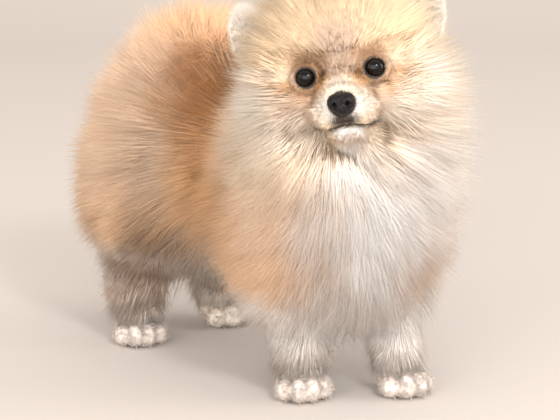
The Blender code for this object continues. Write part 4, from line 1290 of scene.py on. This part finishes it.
def studio():
    """Soft light from the front right and above, and a pale surround."""
    softbox("key light", (1.0, -2.5, 1.2), (0, 0, 0.12), (2.1, 2.1), 31, (1.0, 0.98, 0.96))
    softbox("fill light", (-0.8, -2.4, 0.5), (0, 0, 0.1), (2.4, 2.4), 80, (1.0, 0.98, 0.96))
    softbox("side light", (2.3, -0.2, 0.9), (0, 0, 0.14), (1.4, 1.4), 28, (1.0, 0.985, 0.965))
    softbox("left light", (-2.2, -0.8, 0.8), (0, 0, 0.14), (1.4, 1.4), 11, (1.0, 0.985, 0.965))
    softbox("top light", (0.4, 0.3, 2.2), (0, 0, 0.12), (2.0, 2.0), 5, (1.0, 0.98, 0.955))
    softbox("catch light", (0.8, -2.0, 1.6), (0, 0, 0.16), (0.42, 0.42), 27, (1.0, 1.0, 1.0))
    world = bpy.data.worlds.new("surround")
    world.use_nodes = True
    world.node_tree.nodes["Background"].inputs["Color"].default_value = (1.0, 0.94, 0.88, 1)
    world.node_tree.nodes["Background"].inputs["Strength"].default_value = 1.03
    bpy.context.scene.world = world
    bpy.context.scene.view_settings.view_transform = "Standard"


def camera():
    made = bpy.data.cameras.new("camera")
    made.sensor_width = SENSOR
    made.lens = CAMERA_LENS
    made.clip_start = 0.05
    obj = bpy.data.objects.new("camera", made)
    obj.location = body_frame() @ Vector(CAMERA_AT)
    obj.rotation_euler = (math.radians(90 - CAMERA_DROP), 0, math.radians(-CAMERA_TURN))
    bpy.context.scene.collection.objects.link(obj)
    bpy.context.scene.camera = obj


def main():
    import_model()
    camera()
    plain_floor()
    studio()

    grain, hair_colour = grain_group(), hair_colour_group()
    envelope = moulded(body_form("envelope", 1), ENVELOPE_VOXEL, 6)
    reach_tree = tree_of(envelope)
    bpy.data.objects.remove(envelope, do_unlink=True)
    skin = thinned(moulded(body_form("skin", 0), SKIN_VOXEL, 5), SKIN_TRIANGLES)
    shape_face(skin)
    skin.data.shade_smooth()
    unwrap(skin)
    regions = coat_plan(skin, reach_tree)

    long_tuft = tuft_mesh("long tuft", 9, ((0, 1.0),), 0.028, 0.12, 0.10, 0.26, 5)
    short_tuft = tuft_mesh("short tuft", 9, ((0, 1.0),), 0.048, 0.16, 0.16, 0.3, 6)
    leg_tuft = tuft_mesh("leg tuft", 11, ((0, 1.0),), 0.038, 0.16, 0.16, 0.3, 7)
    tree = coat_tree()
    long_hair = coat_material("long coat", hair_colour, 0.08, 0.14)
    short_hair = coat_material("short coat", hair_colour, 0.08, 0.14)
    growth = {
        "face_coat": (short_tuft, 1.0, short_hair, 0.2, 0.2, 90.0, 0.75),
        "head_coat_left": (long_tuft, 0.62, long_hair, 0.26, 0.36, 55.0, 0.75),
        "head_coat_right": (long_tuft, 0.62, long_hair, 0.26, 0.36, 55.0, 0.75),
        "tail_coat": (long_tuft, 0.52, long_hair, 0.2, 0.35, 60.0, 0.8),
        "foreleg_coat": (leg_tuft, 0.28, short_hair, 0.14, 0.3, 80.0, 0.75),
        "hindleg_coat": (leg_tuft, 0.24, short_hair, 0.14, 0.3, 80.0, 0.75),
        "bib_coat": (long_tuft, 0.5, long_hair, 0.22, 0.25, 60.0, 0.78),
        "shoulder_coat_left": (long_tuft, 0.36, long_hair, 0.2, 0.36, 60.0, 0.8),
        "shoulder_coat_right": (long_tuft, 0.36, long_hair, 0.2, 0.36, 60.0, 0.8),
        "flank_coat": (long_tuft, 0.265, long_hair, 0.2, 0.36, 60.0, 0.8),
        "loin_coat": (long_tuft, 0.25, long_hair, 0.2, 0.36, 60.0, 0.8),
        "rump_coat": (long_tuft, 0.29, long_hair, 0.2, 0.36, 60.0, 0.8),
    }
    coats = {}
    for seed, (name, (tuft, density, finish, stray, wave, size, shortest)) in enumerate(growth.items()):
        coats[name] = grow(tree, skin, name, regions[name], tuft, density, seed + 1, finish, stray, wave, size, shortest)
    skin.data.materials.append(skin_material(grain))

    ear_skin, eye_gloss = ear_skin_material(grain), eye_material()
    for side, label in ((-1, "right"), (1, "left")):
        ear, grows = make_ear("pinna_" + label, side)
        unwrap(ear)
        coat = grow(tree, ear, "ear_coat_" + label, grows, leg_tuft, 0.9, 31 + side, short_hair, 0.2, 0.3, 90.0, 0.75)
        ear.data.materials.append(ear_skin)
        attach(ear, "root")
        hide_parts("ear_" + label)
        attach(coat, "root")
        eye = make_eye("eyeball_" + label, side)
        eye.data.materials.append(eye_gloss)
        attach(eye, "root")
        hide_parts("eye_" + label)
    nose = make_nose()
    nose.data.materials.append(nose_material(grain))
    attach(nose, "root")
    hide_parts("nose")
    claws = make_claws()
    claws.data.materials.append(claw_material(grain))
    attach(claws, "root")

    for tuft in (long_tuft, short_tuft, leg_tuft):
        bpy.data.objects.remove(tuft, do_unlink=True)
    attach(skin, "root")
    flesh = ["head", "neck", "torso", "tail"]
    flesh += [end + part + "_" + side for end in ("fore", "hind") for part in ("leg", "paw") for side in ("left", "right")]
    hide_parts(*flesh)
    for name, piece in coats.items():
        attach(piece, "root")


main()
